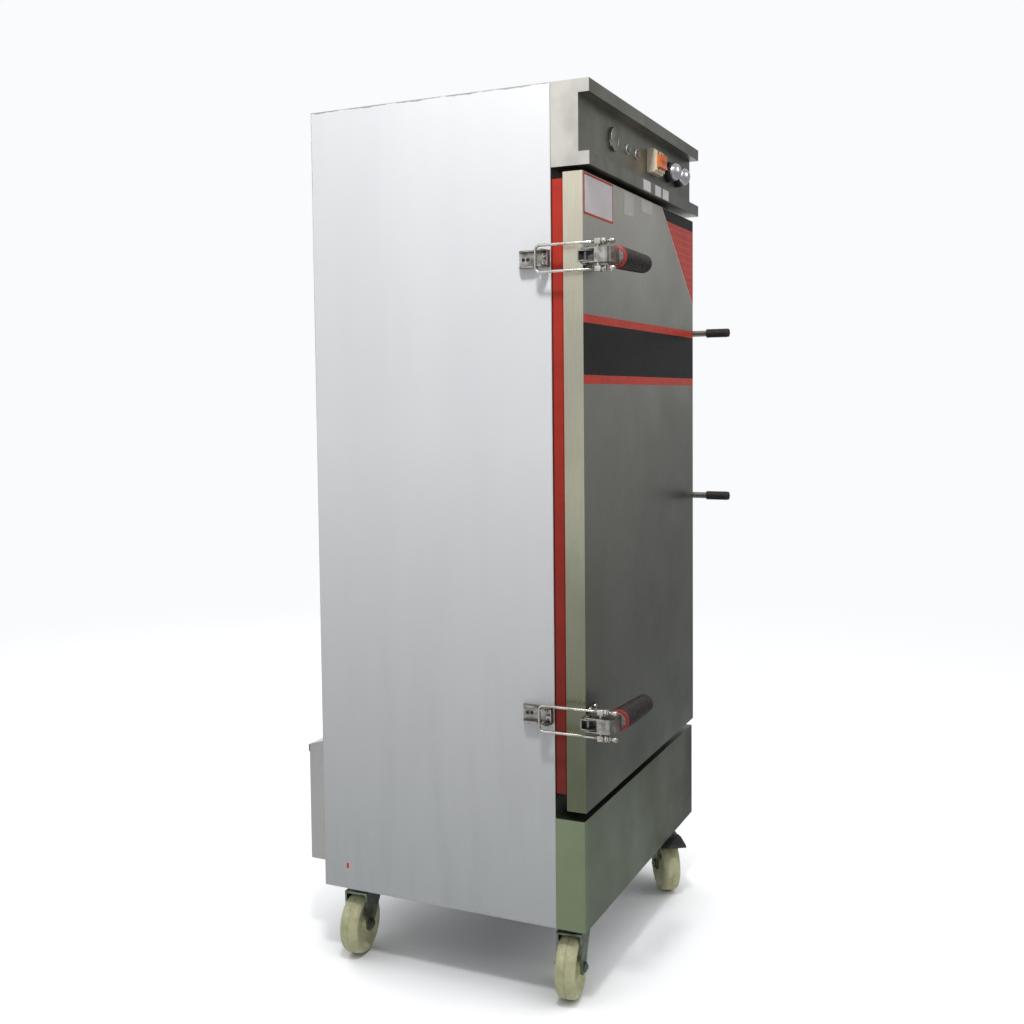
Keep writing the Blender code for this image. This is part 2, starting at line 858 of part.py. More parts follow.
def racks():
    """Pressed side racks: one sheet each with a runner folded out at every level and windows between."""
    for side, sign in (("left", -1), ("right", 1)):
        wall = sign * (half_width - side_wall - seat)
        face = wall - sign * rack_sheet
        tip = face - sign * rack_runner
        bottom = base_z + basin_floor + seat
        top = base_z + mouth_top - rack_top_clear
        outline = [(wall, bottom), (wall, top), (face, top)]
        for level in reversed(range(tray_levels)):
            z = base_z + tray_first + level * tray_spacing
            outline += [(face, z), (tip, z), (tip, z - rack_sheet), (face, z - rack_sheet)]
        outline.append((face, bottom))
        front = front_y + rack_front
        rack = prism(outline, front, front + rack_length, "Y")
        windows = []
        for level in range(tray_levels):
            low = base_z + tray_first + level * tray_spacing + rack_window_margin
            high = low + tray_spacing - rack_sheet - 2 * rack_window_margin
            if level == tray_levels - 1:
                high = min(high, top - rack_window_margin)
            windows.append(rack_window(wall, face, front, low, high))
        low = bottom + rack_window_margin
        high = base_z + tray_first - rack_sheet - rack_window_margin
        windows.append(rack_window(wall, face, front, low, high))
        piece("rack_" + side, cut(rack, *windows), steel("rack_steel_" + side))


def tray_rings(middle_y, rim_z):
    """The rings of a tray, from the inside of its bottom, over the rim, to the underside of its bottom."""
    half_x = tray_length / 2
    half_y = tray_depth_across / 2
    inner_x = half_x - tray_rim
    inner_y = half_y - tray_rim
    floor_z = rim_z - tray_height
    sizes = (
        (inner_x - tray_taper, inner_y - tray_taper, tray_corner, floor_z + tray_sheet),
        (inner_x, inner_y, tray_corner, rim_z + tray_rim_sheet),
        (half_x, half_y, tray_corner, rim_z + tray_rim_sheet),
        (half_x, half_y, tray_corner, rim_z),
        (inner_x + tray_sheet, inner_y + tray_sheet, tray_corner, rim_z),
        (inner_x - tray_taper + tray_sheet, inner_y - tray_taper + tray_sheet, tray_corner, floor_z),
    )
    rings = []
    for across, along, corner, z in sizes:
        rings.append([(x, middle_y + y, z) for x, y in rounded_rectangle(across, along, corner, 2)])
    return rings


def trays():
    middle_y = front_y + tray_front + tray_depth_across / 2
    for number, level in enumerate(tray_stock, 1):
        rim_z = base_z + tray_first + level * tray_spacing + seat
        tray = loft(tray_rings(middle_y, rim_z))
        aluminium = finish("tray_aluminium_%d" % number, (0.75, 0.76, 0.77), 0.3, 1.0)
        piece("rice_tray_%d" % number, tray, aluminium)


def heater_tubes():
    """One long tube bent into hairpins over the basin floor, from a terminal flange on the back wall."""
    z = base_z + basin_floor + heater_height
    wall_y = back_y - back_wall - seat
    bend = heater_spacing / 2
    near = front_y + heater_front + bend
    far = front_y + heater_back - bend
    first_x = -heater_spacing * (heater_runs - 1) / 2
    path = [(first_x, wall_y - heater_flange_thickness / 2)]
    for run in range(heater_runs - 1):
        x = first_x + run * heater_spacing
        if run % 2 == 0:
            path += arc((x + bend, near), bend, 180, 360, 5)
        else:
            path += arc((x + bend, far), bend, 180, 0, 5)
    path.append((first_x + (heater_runs - 1) * heater_spacing, wall_y - heater_flange_thickness / 2))
    tube = swept([(x, y, z) for x, y in path], heater_radius, bar_sides)
    half = -first_x + heater_flange_margin
    flange = block(
        (-half, wall_y - heater_flange_thickness, z - heater_flange_half),
        (half, wall_y, z + heater_flange_half),
    )
    piece("heater_tubes", united(flange, tube), finish("heater_nickel", (0.42, 0.41, 0.38), 0.45, 1.0))


def tank_x():
    left = -half_width + tank_left
    return left, left + tank_width


def tank_top(out):
    """Height of the supply box's sloping rim at a distance out from the back sheet."""
    slope = (tank_wall_height - tank_back_height) / tank_depth
    return base_z + tank_wall_height - slope * out


def lid_axis():
    """The lid's hinge axis as (y, z)."""
    return back_y + lid_hinge_out, tank_top(lid_hinge_out) + seat + lid_hinge_radius


def valve_axis():
    """The float valve's axis as (y, z)."""
    return back_y + seat + tank_depth / 2, base_z + valve_height


def supply_tank():
    """The supply box with the lid's hinge ears and the float valve bolted through its end wall."""
    left, right = tank_x()
    wall = back_y + seat
    out = back_y + tank_depth
    bottom = base_z + tank_bottom
    outline = [(wall, bottom), (out, bottom), (out, tank_top(tank_depth)), (wall, tank_top(0.0))]
    box = prism(outline, left, right, "X")
    room = block(
        (left + tank_sheet, wall + tank_sheet, bottom + tank_sheet),
        (right - tank_sheet, out - tank_sheet, top_z),
    )
    axis_y, axis_z = lid_axis()
    parts = []
    ear_foot = tank_top(0.0) - lid_ear_radius * 2
    ear_outline = arc((axis_y, axis_z), lid_ear_radius, 0, 180, 5)
    ear_outline += [(axis_y - lid_ear_radius, ear_foot), (axis_y + lid_ear_radius, ear_foot)]
    for start, inward in ((left, 1), (right - tank_sheet, -1)):
        parts.append(prism(ear_outline, start, start + tank_sheet, "X"))
        root = start + tank_sheet / 2
        tip = root + inward * (lid_end_gap + lid_pin_length)
        low, high = sorted((root, tip))
        parts.append(rod(lid_pin_radius, low, high, "X", (0.0, axis_y, axis_z), bar_sides))
    valve_y, valve_z = valve_axis()
    centre = (right, valve_y, valve_z)
    nut = valve_nut_length
    valve_profile = (
        (valve_radius, -valve_inside),
        (valve_radius, -tank_sheet - nut),
        (valve_nut_radius, -tank_sheet - nut),
        (valve_nut_radius, nut),
        (valve_radius, nut),
        (valve_radius, valve_outside),
    )
    valve = turned(valve_profile, round_sides, "X", centre)
    tongue_high = valve_radius * valve_tongue_share
    tongue = block(
        (right - valve_inside - valve_tongue, valve_y - valve_tongue_half, valve_z - tongue_high),
        (right - valve_inside + overrun, valve_y + valve_tongue_half, valve_z + tongue_high),
    )
    pin_x, pin_y, pin_z = float_pivot()
    pin = rod(
        float_pin_radius, 0.0, valve_tongue_half + float_pin_length, "Y", (pin_x, pin_y, pin_z), bar_sides
    )
    tank = united(cut(box, room), *parts, valve, tongue, pin)
    piece("supply_tank", tank, steel("tank_steel"))


def float_pivot():
    valve_y, valve_z = valve_axis()
    right = tank_x()[1]
    return right - valve_inside - valve_tongue / 2, valve_y, valve_z


def float_arm():
    """The float ball on its arm, hung on the valve's pin."""
    pin_x, pin_y, pin_z = float_pivot()
    eye_low = valve_tongue_half + running
    eye = rod(float_eye_radius, eye_low, eye_low + float_eye_width, "Y", (pin_x, pin_y, pin_z))
    rod_y = pin_y + eye_low + float_eye_width / 2
    ball_x = pin_x - float_arm_across
    ball_z = pin_z - float_arm_drop
    stalk = swept(
        (
            (pin_x - float_eye_radius / 2, rod_y, pin_z),
            (pin_x - float_arm_across / 2, rod_y, pin_z),
            (ball_x, pin_y, ball_z),
        ),
        float_rod_radius,
        bar_sides,
    )
    half_circle = arc((0.0, 0.0), float_radius, 85, -85, 6)
    ball = turned(half_circle, fine_sides // 2, "Z", (ball_x, pin_y, ball_z))
    bore = rod(float_pin_radius + running, -overrun, float_pin_length * 3, "Y", (pin_x, pin_y, pin_z))
    arm = cut(united(eye, stalk, ball), bore)
    piece("float_arm", arm, finish("float_red", (0.70, 0.10, 0.06), 0.4, 0.0), (pin_x, pin_y, pin_z))


def supply_tank_lid():
    """The sloping lid with its rolled hinge edge and a lip that hangs over the box."""
    left, right = tank_x()
    axis_y, axis_z = lid_axis()
    lip_in = tank_depth + seat
    lip_out = lip_in + lid_sheet
    start = lid_notch
    outline = [
        (back_y + start, tank_top(start) + seat),
        (back_y + lip_in, tank_top(lip_in) + seat),
        (back_y + lip_in, tank_top(lip_in) - lid_lip),
        (back_y + lip_out, tank_top(lip_in) - lid_lip),
        (back_y + lip_out, tank_top(lip_out) + seat + lid_sheet),
        (back_y + start, tank_top(start) + seat + lid_sheet),
    ]
    plate = prism(outline, left - lid_side, right + lid_side, "X")
    knuckle_left = left + tank_sheet + lid_end_gap
    knuckle_right = right - tank_sheet - lid_end_gap
    thinner = lid_sheet * lid_tongue_share
    tongue_end = start + lid_sheet
    tongue_outline = [
        (axis_y, axis_z - lid_hinge_radius + thinner),
        (back_y + tongue_end, tank_top(tongue_end) + seat + thinner),
        (back_y + tongue_end, tank_top(tongue_end) + seat + lid_sheet - thinner),
        (axis_y, axis_z - lid_hinge_radius + lid_sheet),
    ]
    tongue = prism(tongue_outline, knuckle_left + thinner, knuckle_right - thinner, "X")
    knuckle = rod(lid_hinge_radius, knuckle_left, knuckle_right, "X", (0.0, axis_y, axis_z), lid_hinge_sides)
    bore_radius = lid_pin_radius + running
    bore_length = lid_pin_length + overrun
    bores = []
    for edge, inward in ((knuckle_left, 1), (knuckle_right, -1)):
        low, high = sorted((edge - inward * overrun, edge + inward * bore_length))
        bores.append(rod(bore_radius, low, high, "X", (0.0, axis_y, axis_z), lid_hinge_sides))
    lid = cut(united(plate, tongue, knuckle), *bores)
    piece("supply_tank_lid", lid, steel("lid_steel"), ((left + right) / 2, axis_y, axis_z))


def drain_places():
    """The drain's axis in (x, z), and the y of the valve's middle."""
    x = half_width - drain_from_right
    z = base_z + drain_height
    middle = back_y + seat + drain_flange_thickness + drain_neck + drain_hex_length + drain_body_length / 2
    return x, middle, z


def drain_valve():
    """A ball valve on the drain pipe, with its lever turned across the pipe."""
    x, middle_y, z = drain_places()
    place = seat
    profile = [(drain_flange_radius, place)]
    for radius, length in (
        (drain_flange_radius, drain_flange_thickness),
        (drain_pipe_radius, drain_neck),
        (drain_hex_radius, drain_hex_length),
        (drain_body_radius, drain_body_length),
        (drain_hex_radius, drain_hex_length),
        (drain_outlet_radius, drain_outlet_length),
    ):
        if profile[-1][0] != radius:
            profile.append((radius, place))
        place += length
        profile.append((radius, place))
    valve = turned(profile, round_sides, "Y", (x, back_y, z))
    stem_top = drain_body_radius + drain_stem_height
    stem = rod(drain_stem_radius, 0.0, stem_top, "Z", (x, middle_y, z))
    bore = rod(drain_bore_radius, place - drain_bore_depth, place + overrun, "Y", (x, back_y, z))
    brass = finish("drain_brass", (0.72, 0.58, 0.32), 0.35, 1.0)
    piece("drain_valve", cut(united(valve, stem), bore), brass)
    lever_low = stem_top + running
    tip_x = -drain_lever_length + drain_lever_tip
    outline = arc((0.0, 0.0), drain_lever_hub, -60, 60, 6)
    outline += arc((0.0, 0.0), drain_lever_hub, 75, 110, 2)
    outline += arc((tip_x, 0.0), drain_lever_tip, 90, 270, 6)
    outline += arc((0.0, 0.0), drain_lever_hub, 250, 285, 2)
    points = [(x + a, middle_y + b) for a, b in outline]
    bar = prism(points, z + lever_low, z + lever_low + drain_lever_sheet, "Z")
    nut_top = lever_low + drain_lever_sheet + drain_nut_height
    nut_low = lever_low + drain_lever_sheet / 2
    nut = rod(drain_stem_radius, nut_low, nut_top, "Z", (x, middle_y, z), screw_sides)
    pivot = (x, middle_y, z + lever_low)
    piece("drain_lever", united(bar, nut), finish("drain_lever_red", (0.65, 0.07, 0.05), 0.45, 0.0), pivot)


def steam_vent():
    """A flanged elbow that lets excess steam out downward."""
    z = top_z - vent_from_top
    flange = rod(vent_flange_radius, seat, seat + vent_flange_thickness, "Y", (0.0, back_y, z), fine_sides)
    out_y = back_y + vent_out
    bend_centre = (out_y - vent_bend, z - vent_bend)
    path = [(0.0, back_y + seat + vent_flange_thickness / 2, z)]
    path += [(0.0, y, height) for y, height in arc(bend_centre, vent_bend, 90, 0, 5)]
    path.append((0.0, out_y, z - vent_drop))
    elbow = swept(path, vent_radius, round_sides)
    bore = rod(vent_bore_radius, -vent_drop - overrun, -vent_drop + vent_bore_depth, "Z", (0.0, out_y, z))
    piece("steam_vent", cut(united(flange, elbow), bore), steel("vent_steel"))


def cable_gland():
    """The supply cable's gland, with no cable in it."""
    x = half_width - gland_from_right
    z = base_z + gland_height
    end = seat + gland_flange_length + gland_nut_length
    profile = (
        (gland_flange_radius, seat),
        (gland_flange_radius, seat + gland_flange_length),
        (gland_nut_radius, seat + gland_flange_length),
        (gland_nut_radius, end),
        (gland_nose_radius, end + gland_nose_length),
    )
    gland = turned(profile, round_sides, "Y", (x, back_y, z))
    tip = end + gland_nose_length
    bore = rod(gland_bore_radius, tip - gland_bore_depth, tip + overrun, "Y", (x, back_y, z))
    piece("cable_gland", cut(gland, bore), finish("gland_nylon", (0.05, 0.05, 0.05), 0.5, 0.0))


def hinge_axis():
    return half_width + hinge_axis_out, front_y - gasket_thickness / 2


def hinge_leaf(height, leaf_y, reach_y, knuckles, gaps, with_pin):
    """One hinge leaf: a plate on the outside, fingers that reach the axis, and knuckles."""
    axis_x, axis_y = hinge_axis()
    plate_x = half_width + seat
    low = height - hinge_length / 2
    high = height + hinge_length / 2
    leaf = block((plate_x, min(leaf_y, reach_y), low), (plate_x + hinge_plate, max(leaf_y, reach_y), high))
    parts = []
    for start, stop in knuckles:
        near = min(axis_y, leaf_y)
        far = max(axis_y, leaf_y)
        parts.append(
            block(
                (plate_x, near - (overrun if near != axis_y else 0.0), start),
                (plate_x + hinge_plate, far + (overrun if far != axis_y else 0.0), stop),
            )
        )
        parts.append(rod(hinge_knuckle_radius, start, stop, "Z", (axis_x, axis_y, 0.0), round_sides))
    middle_y = (leaf_y + reach_y) / 2
    for step in (-1, 0, 1):
        screw_z = height + step * hinge_length / 3
        head = rod(
            hinge_screw_radius,
            plate_x + hinge_plate / 2,
            plate_x + hinge_plate + hinge_screw_head,
            "X",
            (0.0, middle_y, screw_z),
            screw_sides,
        )
        parts.append(head)
    leaf = united(leaf, *parts)
    if with_pin:
        pin = rod(hinge_pin_radius, low, high, "Z", (axis_x, axis_y, 0.0), round_sides)
        return united(leaf, pin)
    bore_low, bore_high = gaps
    bore = rod(hinge_pin_radius + running, bore_low, bore_high, "Z", (axis_x, axis_y, 0.0), round_sides)
    return cut(leaf, bore)


def hinges():
    """Two butt hinges whose knuckles stand in line with the gasket, outside the right side."""
    axis_x, axis_y = hinge_axis()
    for name, place in zip(("lower", "upper"), hinge_heights):
        height = base_z + place
        low = height - hinge_length / 2
        high = height + hinge_length / 2
        middle_low = height - hinge_middle_length / 2
        middle_high = height + hinge_middle_length / 2
        cabinet_start = front_y + seat + hinge_knuckle_radius / 2
        cabinet_knuckles = ((low, middle_low - running), (middle_high + running, high))
        cabinet = hinge_leaf(
            height, cabinet_start, cabinet_start + hinge_cabinet_reach, cabinet_knuckles, None, True
        )
        piece("hinge_leaf_cabinet_" + name, cabinet, steel("hinge_cabinet_" + name))
        door_start = door_back_y - door_sheet
        door_stop = door_front_y + door_sheet
        bore = (middle_low - overrun, middle_high + overrun)
        door = hinge_leaf(height, door_start, door_stop, ((middle_low, middle_high),), bore, False)
        piece("hinge_leaf_door_" + name, door, steel("hinge_door_" + name), (axis_x, axis_y, height))


def pull_axis_x():
    return half_width + side_reach - pull_grip_radius


def door_shell():
    """The door's outer pan, with the studs of the two pull handles welded to its right edge."""
    pan = block((-half_width, door_front_y, door_bottom_z), (half_width, door_back_y, door_top_z))
    room = block(
        (-half_width + door_sheet, door_front_y + door_sheet, door_bottom_z + door_sheet),
        (half_width - door_sheet, door_back_y + overrun, door_top_z - door_sheet),
    )
    pan = cut(pan, room)
    stud_y = (door_front_y + door_back_y) / 2
    tip_y = door_front_y - pull_reach + pull_end_cover
    axis_x = pull_axis_x()
    parts = []
    for drop in pull_from_top:
        z = top_z - drop
        foot = block(
            (half_width - door_sheet / 2, stud_y - pull_foot_half, z - pull_foot_half),
            (half_width + pull_foot_plate, stud_y + pull_foot_half, z + pull_foot_half),
        )
        bend_centre = (axis_x - pull_bend, stud_y - pull_bend)
        path = [(half_width + pull_foot_plate / 2, stud_y, z)]
        path += [(x, y, z) for x, y in arc(bend_centre, pull_bend, 90, 0, 4)]
        path.append((axis_x, tip_y, z))
        parts += [foot, swept(path, pull_stud_radius, bar_sides)]
    axis = (*hinge_axis(), door_bottom_z)
    return piece("door_shell", united(pan, *parts), steel("door_steel"), axis)


def pull_grips(door):
    """Rubber sleeves pushed over the studs."""
    tip_y = door_front_y - pull_reach
    for name, drop in zip(("lower", "upper"), pull_from_top):
        centre = (pull_axis_x(), tip_y, top_z - drop)
        rounding = pull_end_cover / 2
        profile = (
            (pull_grip_radius - rounding, 0.0),
            (pull_grip_radius, rounding),
            (pull_grip_radius, pull_grip_length),
        )
        sleeve = turned(profile, round_sides, "Y", centre)
        bore = rod(pull_stud_radius + loose, pull_end_cover - seat, pull_grip_length + overrun, "Y", centre)
        rubber = finish("pull_rubber_" + name, (0.03, 0.03, 0.03), 0.7, 0.0)
        grip = piece("pull_grip_" + name, cut(sleeve, bore), rubber)
        carried(grip, door)


def door_ring(inset_x, inset_top, inset_bottom, y):
    """A rectangle of points on the door's back, set in from its edges."""
    x = half_width - inset_x
    low = door_bottom_z + inset_bottom
    high = door_top_z - inset_top
    return [(-x, y, low), (x, y, low), (x, y, high), (-x, y, high)]


def door_inside(door):
    """The door's wool, its pressed inner sheet and the gasket round it."""
    wool_inset = door_sheet + seat
    liner_back = door_back_y - liner_sheet
    wool = block(
        (-half_width + wool_inset, door_front_y + wool_inset, door_bottom_z + wool_inset),
        (half_width - wool_inset, liner_back - seat, door_top_z - wool_inset),
    )
    wool_finish = finish("door_wool", (0.78, 0.72, 0.45), 0.95, 0.0)
    carried(piece("door_insulation", wool, wool_finish), door)
    edge = door_sheet + seat
    plug_x = gasket_inset + gasket_width + door_plug_margin
    plug_top = gasket_top_inset + gasket_width + door_plug_margin
    plug_bottom = gasket_bottom_inset + gasket_width + door_plug_margin
    taper = door_plug_taper
    face_y = door_back_y + door_plug_height
    rings = (
        door_ring(plug_x + taper, plug_top + taper, plug_bottom + taper, face_y - liner_sheet),
        door_ring(plug_x + liner_sheet, plug_top + liner_sheet, plug_bottom + liner_sheet, liner_back),
        door_ring(edge, edge, edge, liner_back),
        door_ring(edge, edge, edge, door_back_y),
        door_ring(plug_x, plug_top, plug_bottom, door_back_y),
        door_ring(plug_x + taper, plug_top + taper, plug_bottom + taper, face_y),
    )
    carried(piece("door_liner", loft(rings), steel("door_liner_steel")), door)
    front = door_back_y + seat
    back = front_y - seat
    outer = []
    for inward, y in (
        (gasket_chamfer, front),
        (0.0, front + gasket_chamfer),
        (0.0, back - gasket_chamfer),
        (gasket_chamfer, back),
    ):
        insets = [inset + inward for inset in (gasket_inset, gasket_top_inset, gasket_bottom_inset)]
        outer.append(door_ring(*insets, y))
    width = gasket_width
    hollow = block(
        (
            -half_width + gasket_inset + width,
            front - overrun,
            door_bottom_z + gasket_bottom_inset + width,
        ),
        (half_width - gasket_inset - width, back + overrun, door_top_z - gasket_top_inset - width),
    )
    gasket = cut(loft(outer), hollow)
    carried(piece("door_gasket", gasket, finish("gasket_red", (0.62, 0.05, 0.03), 0.55, 0.0)), door)


def latch_pivot():
    """The lever's pivot as (x, y)."""
    return -half_width - latch_pivot_out, door_front_y - latch_pivot_ahead


def lever_half():
    """Half the height between the lever's two cheeks."""
    return latch_ear_half + lever_gap


def latch_base(z):
    """The base on the door: foot plate, two ears joined by a back web, the pivot pin and its heads."""
    pivot_x, pivot_y = latch_pivot()
    face_y = door_front_y - seat
    foot_x = -half_width + latch_foot_inset
    left = pivot_x - latch_ear_left
    back = pivot_y + latch_ear_back
    front = pivot_y - latch_ear_front
    edge_x = -half_width - seat * 2
    outline = [
        (left, back),
        (edge_x, back),
        (edge_x, face_y),
        (foot_x + latch_foot_width / 2, face_y),
        (foot_x + latch_foot_width / 2, face_y - latch_sheet * 2),
        (pivot_x + latch_ear_front, front),
        (left + latch_sheet, front),
        (left - latch_sheet, pivot_y),
    ]
    foot = block(
        (foot_x, face_y - latch_sheet, z - latch_foot_half),
        (foot_x + latch_foot_width, face_y, z + latch_foot_half),
    )
    parts = []
    for sign in (-1, 1):
        low, high = sorted((sign * latch_ear_half, sign * (latch_ear_half - latch_sheet)))
        parts.append(prism(outline, z + low, z + high, "Z"))
    web = block((left, back - latch_sheet, z - latch_ear_half), (edge_x, back, z + latch_ear_half))
    parts.append(web)
    pin_half = lever_half() + latch_sheet + running
    head = latch_screw_head
    pin_profile = (
        (latch_pin_head_radius, -pin_half - head),
        (latch_pin_head_radius, -pin_half),
        (latch_pin_radius, -pin_half),
        (latch_pin_radius, pin_half),
        (latch_pin_head_radius, pin_half),
        (latch_pin_head_radius, pin_half + head),
    )
    parts.append(turned(pin_profile, round_sides, "Z", (pivot_x, pivot_y, z)))
    for step in (-1, 1):
        x = foot_x + latch_foot_width / 2 + step * latch_screw_apart / 2
        for sign in (-1, 1):
            screw_z = z + sign * (latch_foot_half - latch_screw_inset)
            parts.append(
                rod(
                    latch_screw_radius,
                    -latch_sheet - latch_screw_head,
                    -latch_sheet / 2,
                    "Y",
                    (x, face_y, screw_z),
                    screw_sides,
                )
            )
    return united(foot, *parts)


def lever_strip(inset):
    """The lever's bent outer line in (x, y), from the pivot's left round to the grip's root."""
    pivot_x, pivot_y = latch_pivot()
    left = -half_width - side_reach + inset
    front = pivot_y - lever_front + inset
    corner = lever_corner - inset
    points = [(left, pivot_y - lever_web_start)]
    points += arc((left + corner, front + corner), corner, 180, 270, 4)
    points.append((pivot_x + lever_neck, front))
    return points


def latch_lever(z):
    """The lever: two cheeks joined by a bent web, and a tang for the grip."""
    pivot_x, pivot_y = latch_pivot()
    inner = lever_half()
    outer = inner + latch_sheet
    neck_x = pivot_x + lever_neck
    neck_back = pivot_y - lever_front + lever_depth
    eye = lever_eye_radius
    cheek = arc((pivot_x, pivot_y), eye, 0, 180, 6)
    cheek += lever_strip(0.0)
    cheek += [
        (neck_x, neck_back),
        (pivot_x + eye + latch_sheet * 2, neck_back),
        (pivot_x + eye, neck_back + latch_sheet * 2),
    ]
    parts = []
    for sign in (-1, 1):
        low, high = sorted((sign * inner, sign * outer))
        parts.append(prism(cheek, z + low, z + high, "Z"))
    web = lever_strip(0.0) + list(reversed(lever_strip(latch_sheet)))
    parts.append(prism(web, z - outer, z + outer, "Z"))
    root = block(
        (neck_x - lever_root_length, pivot_y - lever_front + latch_sheet / 2, z - outer + latch_sheet / 2),
        (neck_x, neck_back, z + outer - latch_sheet / 2),
    )
    start, along = grip_line()
    tang = swept(
        (
            (*(start - along * tang_root_length), z),
            (*(start + along * (grip_length - grip_tip_round * 2)), z),
        ),
        tang_radius,
        round_sides,
    )
    lever = united(root, *parts, tang)
    hole = latch_pin_radius + running
    holes = [
        rod(hole, -outer - overrun, outer + overrun, "Z", (pivot_x, pivot_y, z), round_sides),
        rod(hole, -outer - overrun, outer + overrun, "Z", (pivot_x, pivot_y - latch_arm, z), round_sides),
    ]
    return cut(lever, *holes)


def grip_line():
    """Where the grip's axis starts, and its direction, both in (x, y)."""
    pivot_x, pivot_y = latch_pivot()
    start = Vector((pivot_x + lever_neck, pivot_y - lever_front + lever_depth / 2))
    along = Vector((grip_length, -grip_lean)).normalized()
    return start, along


def latch_grip(z):
    """The moulded rubber grip: a collar, then ribs that taper to a round tip."""
    start, along = grip_line()
    collar = grip_collar_length
    profile = [
        (grip_collar_radius - grip_rib_depth * 2, grip_gap),
        (grip_collar_radius, grip_gap + grip_rib_depth * 2),
        (grip_collar_radius, collar - grip_rib_depth * 2),
        (grip_root_radius - grip_rib_depth, collar),
    ]
    ribbed = grip_length - collar - grip_tip_round * 2
    rib_spacing = ribbed / grip_rib_count
    for rib in range(grip_rib_count):
        taper = rib / grip_rib_count
        radius = grip_root_radius + (grip_tip_radius - grip_root_radius) * taper
        place = collar + rib * rib_spacing
        profile.append((radius, place + rib_spacing * grip_rib_share))
        profile.append((radius - grip_rib_depth, place + rib_spacing))
    for x, y in arc((0.0, 0.0), 1.0, 0, 72, 4):
        place = grip_length - grip_tip_round * 2 + grip_tip_round * 2 * y
        profile.append((grip_tip_radius - grip_tip_round * (1 - x), place))
    grip = turned(profile, grip_sides, "Z", (0.0, 0.0, 0.0))
    bore_stop = grip_length - grip_tip_round * 2 + seat
    bore = rod(tang_radius + loose, -overrun, bore_stop, "Z", (0.0, 0.0, 0.0), round_sides)
    grip = cut(grip, bore)
    turn = Vector((0.0, 0.0, 1.0)).rotation_difference(Vector((*along, 0.0)))
    grip.data.transform(Matrix.Translation((*start, z)) @ turn.to_matrix().to_4x4())
    return grip


def latch_bar(z):
    """The draw bar: a loop of rod, the cross pin through the lever, and a block and nut on each leg."""
    pivot_x, pivot_y = latch_pivot()
    pin_y = pivot_y - latch_arm
    half = bar_spacing / 2
    back = front_y + bar_hook_depth
    tip = pin_y - bar_thread_length
    path = [(tip, half)]
    path += arc((back - bar_bend, half - bar_bend), bar_bend, 90, 0, 3)
    path += arc((back - bar_bend, -half + bar_bend), bar_bend, 0, -90, 3)
    path.append((tip, -half))
    bar = swept([(pivot_x, y, z + height) for y, height in path], bar_radius, bar_sides)
    pin_half = half + bar_block_height / 2
    parts = [rod(latch_pin_radius, -pin_half, pin_half, "Z", (pivot_x, pin_y, z), round_sides)]
    for sign in (-1, 1):
        leg = (pivot_x, pin_y, z + sign * half)
        parts.append(
            block(
                (pivot_x - bar_block / 2, pin_y - bar_block / 2, leg[2] - bar_block_height / 2),
                (pivot_x + bar_block / 2, pin_y + bar_block / 2, leg[2] + bar_block_height / 2),
            )
        )
        nut_stop = -bar_block / 2 - bar_nut_space
        nut_start = nut_stop - bar_nut_length
        parts.append(rod(bar_nut_radius, nut_start, nut_stop, "Y", leg, screw_sides))
        tip_start = -bar_thread_length - bar_radius
        parts.append(rod(bar_tip_radius, tip_start, tip_start + bar_tip_length, "Y", leg, screw_sides))
    return united(bar, *parts)


def keeper(z):
    """The keeper on the side sheet: a channel, two ears that the bar's loop hooks behind, and its screws."""
    face = -half_width - seat
    outer = face - keeper_plate
    start = front_y + keeper_front_inset
    stop = start + keeper_length
    plate = block((outer, start, z - keeper_half), (face, stop, z + keeper_half))
    root = outer + keeper_plate / 2
    ear_tip = outer - keeper_ear_depth
    ear_back = start + keeper_ear_length
    lobe = outer - keeper_lobe_depth
    outline = [
        (root, start),
        (outer - keeper_lip_depth, start),
        (ear_tip, ear_back - keeper_ear_length * keeper_ear_share),
        (ear_tip, ear_back),
        (outer - keeper_plate, ear_back),
        (outer - keeper_plate, ear_back + keeper_lobe_start),
        (lobe, ear_back + keeper_lobe_start + keeper_lobe_round),
        (lobe, stop - keeper_lobe_round),
        (outer - keeper_plate, stop),
        (root, stop),
    ]
    parts = []
    for sign in (-1, 1):
        low, high = sorted((sign * keeper_half, sign * (keeper_half - keeper_plate)))
        parts.append(prism(outline, z + low, z + high, "Z"))
    lip_y = start + keeper_plate
    lip = block((outer - keeper_lip_depth, start, z - keeper_half), (root, lip_y, z + keeper_half))
    parts.append(lip)
    screw_y = start + keeper_plate + (keeper_ear_length - keeper_plate) / 2
    for sign in (-1, 1):
        centre = (outer, screw_y, z + sign * keeper_screw_spacing / 2)
        screw = rod(keeper_screw_radius, -keeper_screw_head, keeper_plate / 2, "X", centre, screw_sides)
        parts.append(screw)
    body = united(plate, *parts)
    holes = []
    for step in (0, 1):
        centre = (outer, stop - keeper_hole_inset - step * keeper_hole_spacing, z)
        holes.append(rod(keeper_hole_radius, -overrun, keeper_plate + overrun, "X", centre, round_sides))
    return cut(body, *holes)


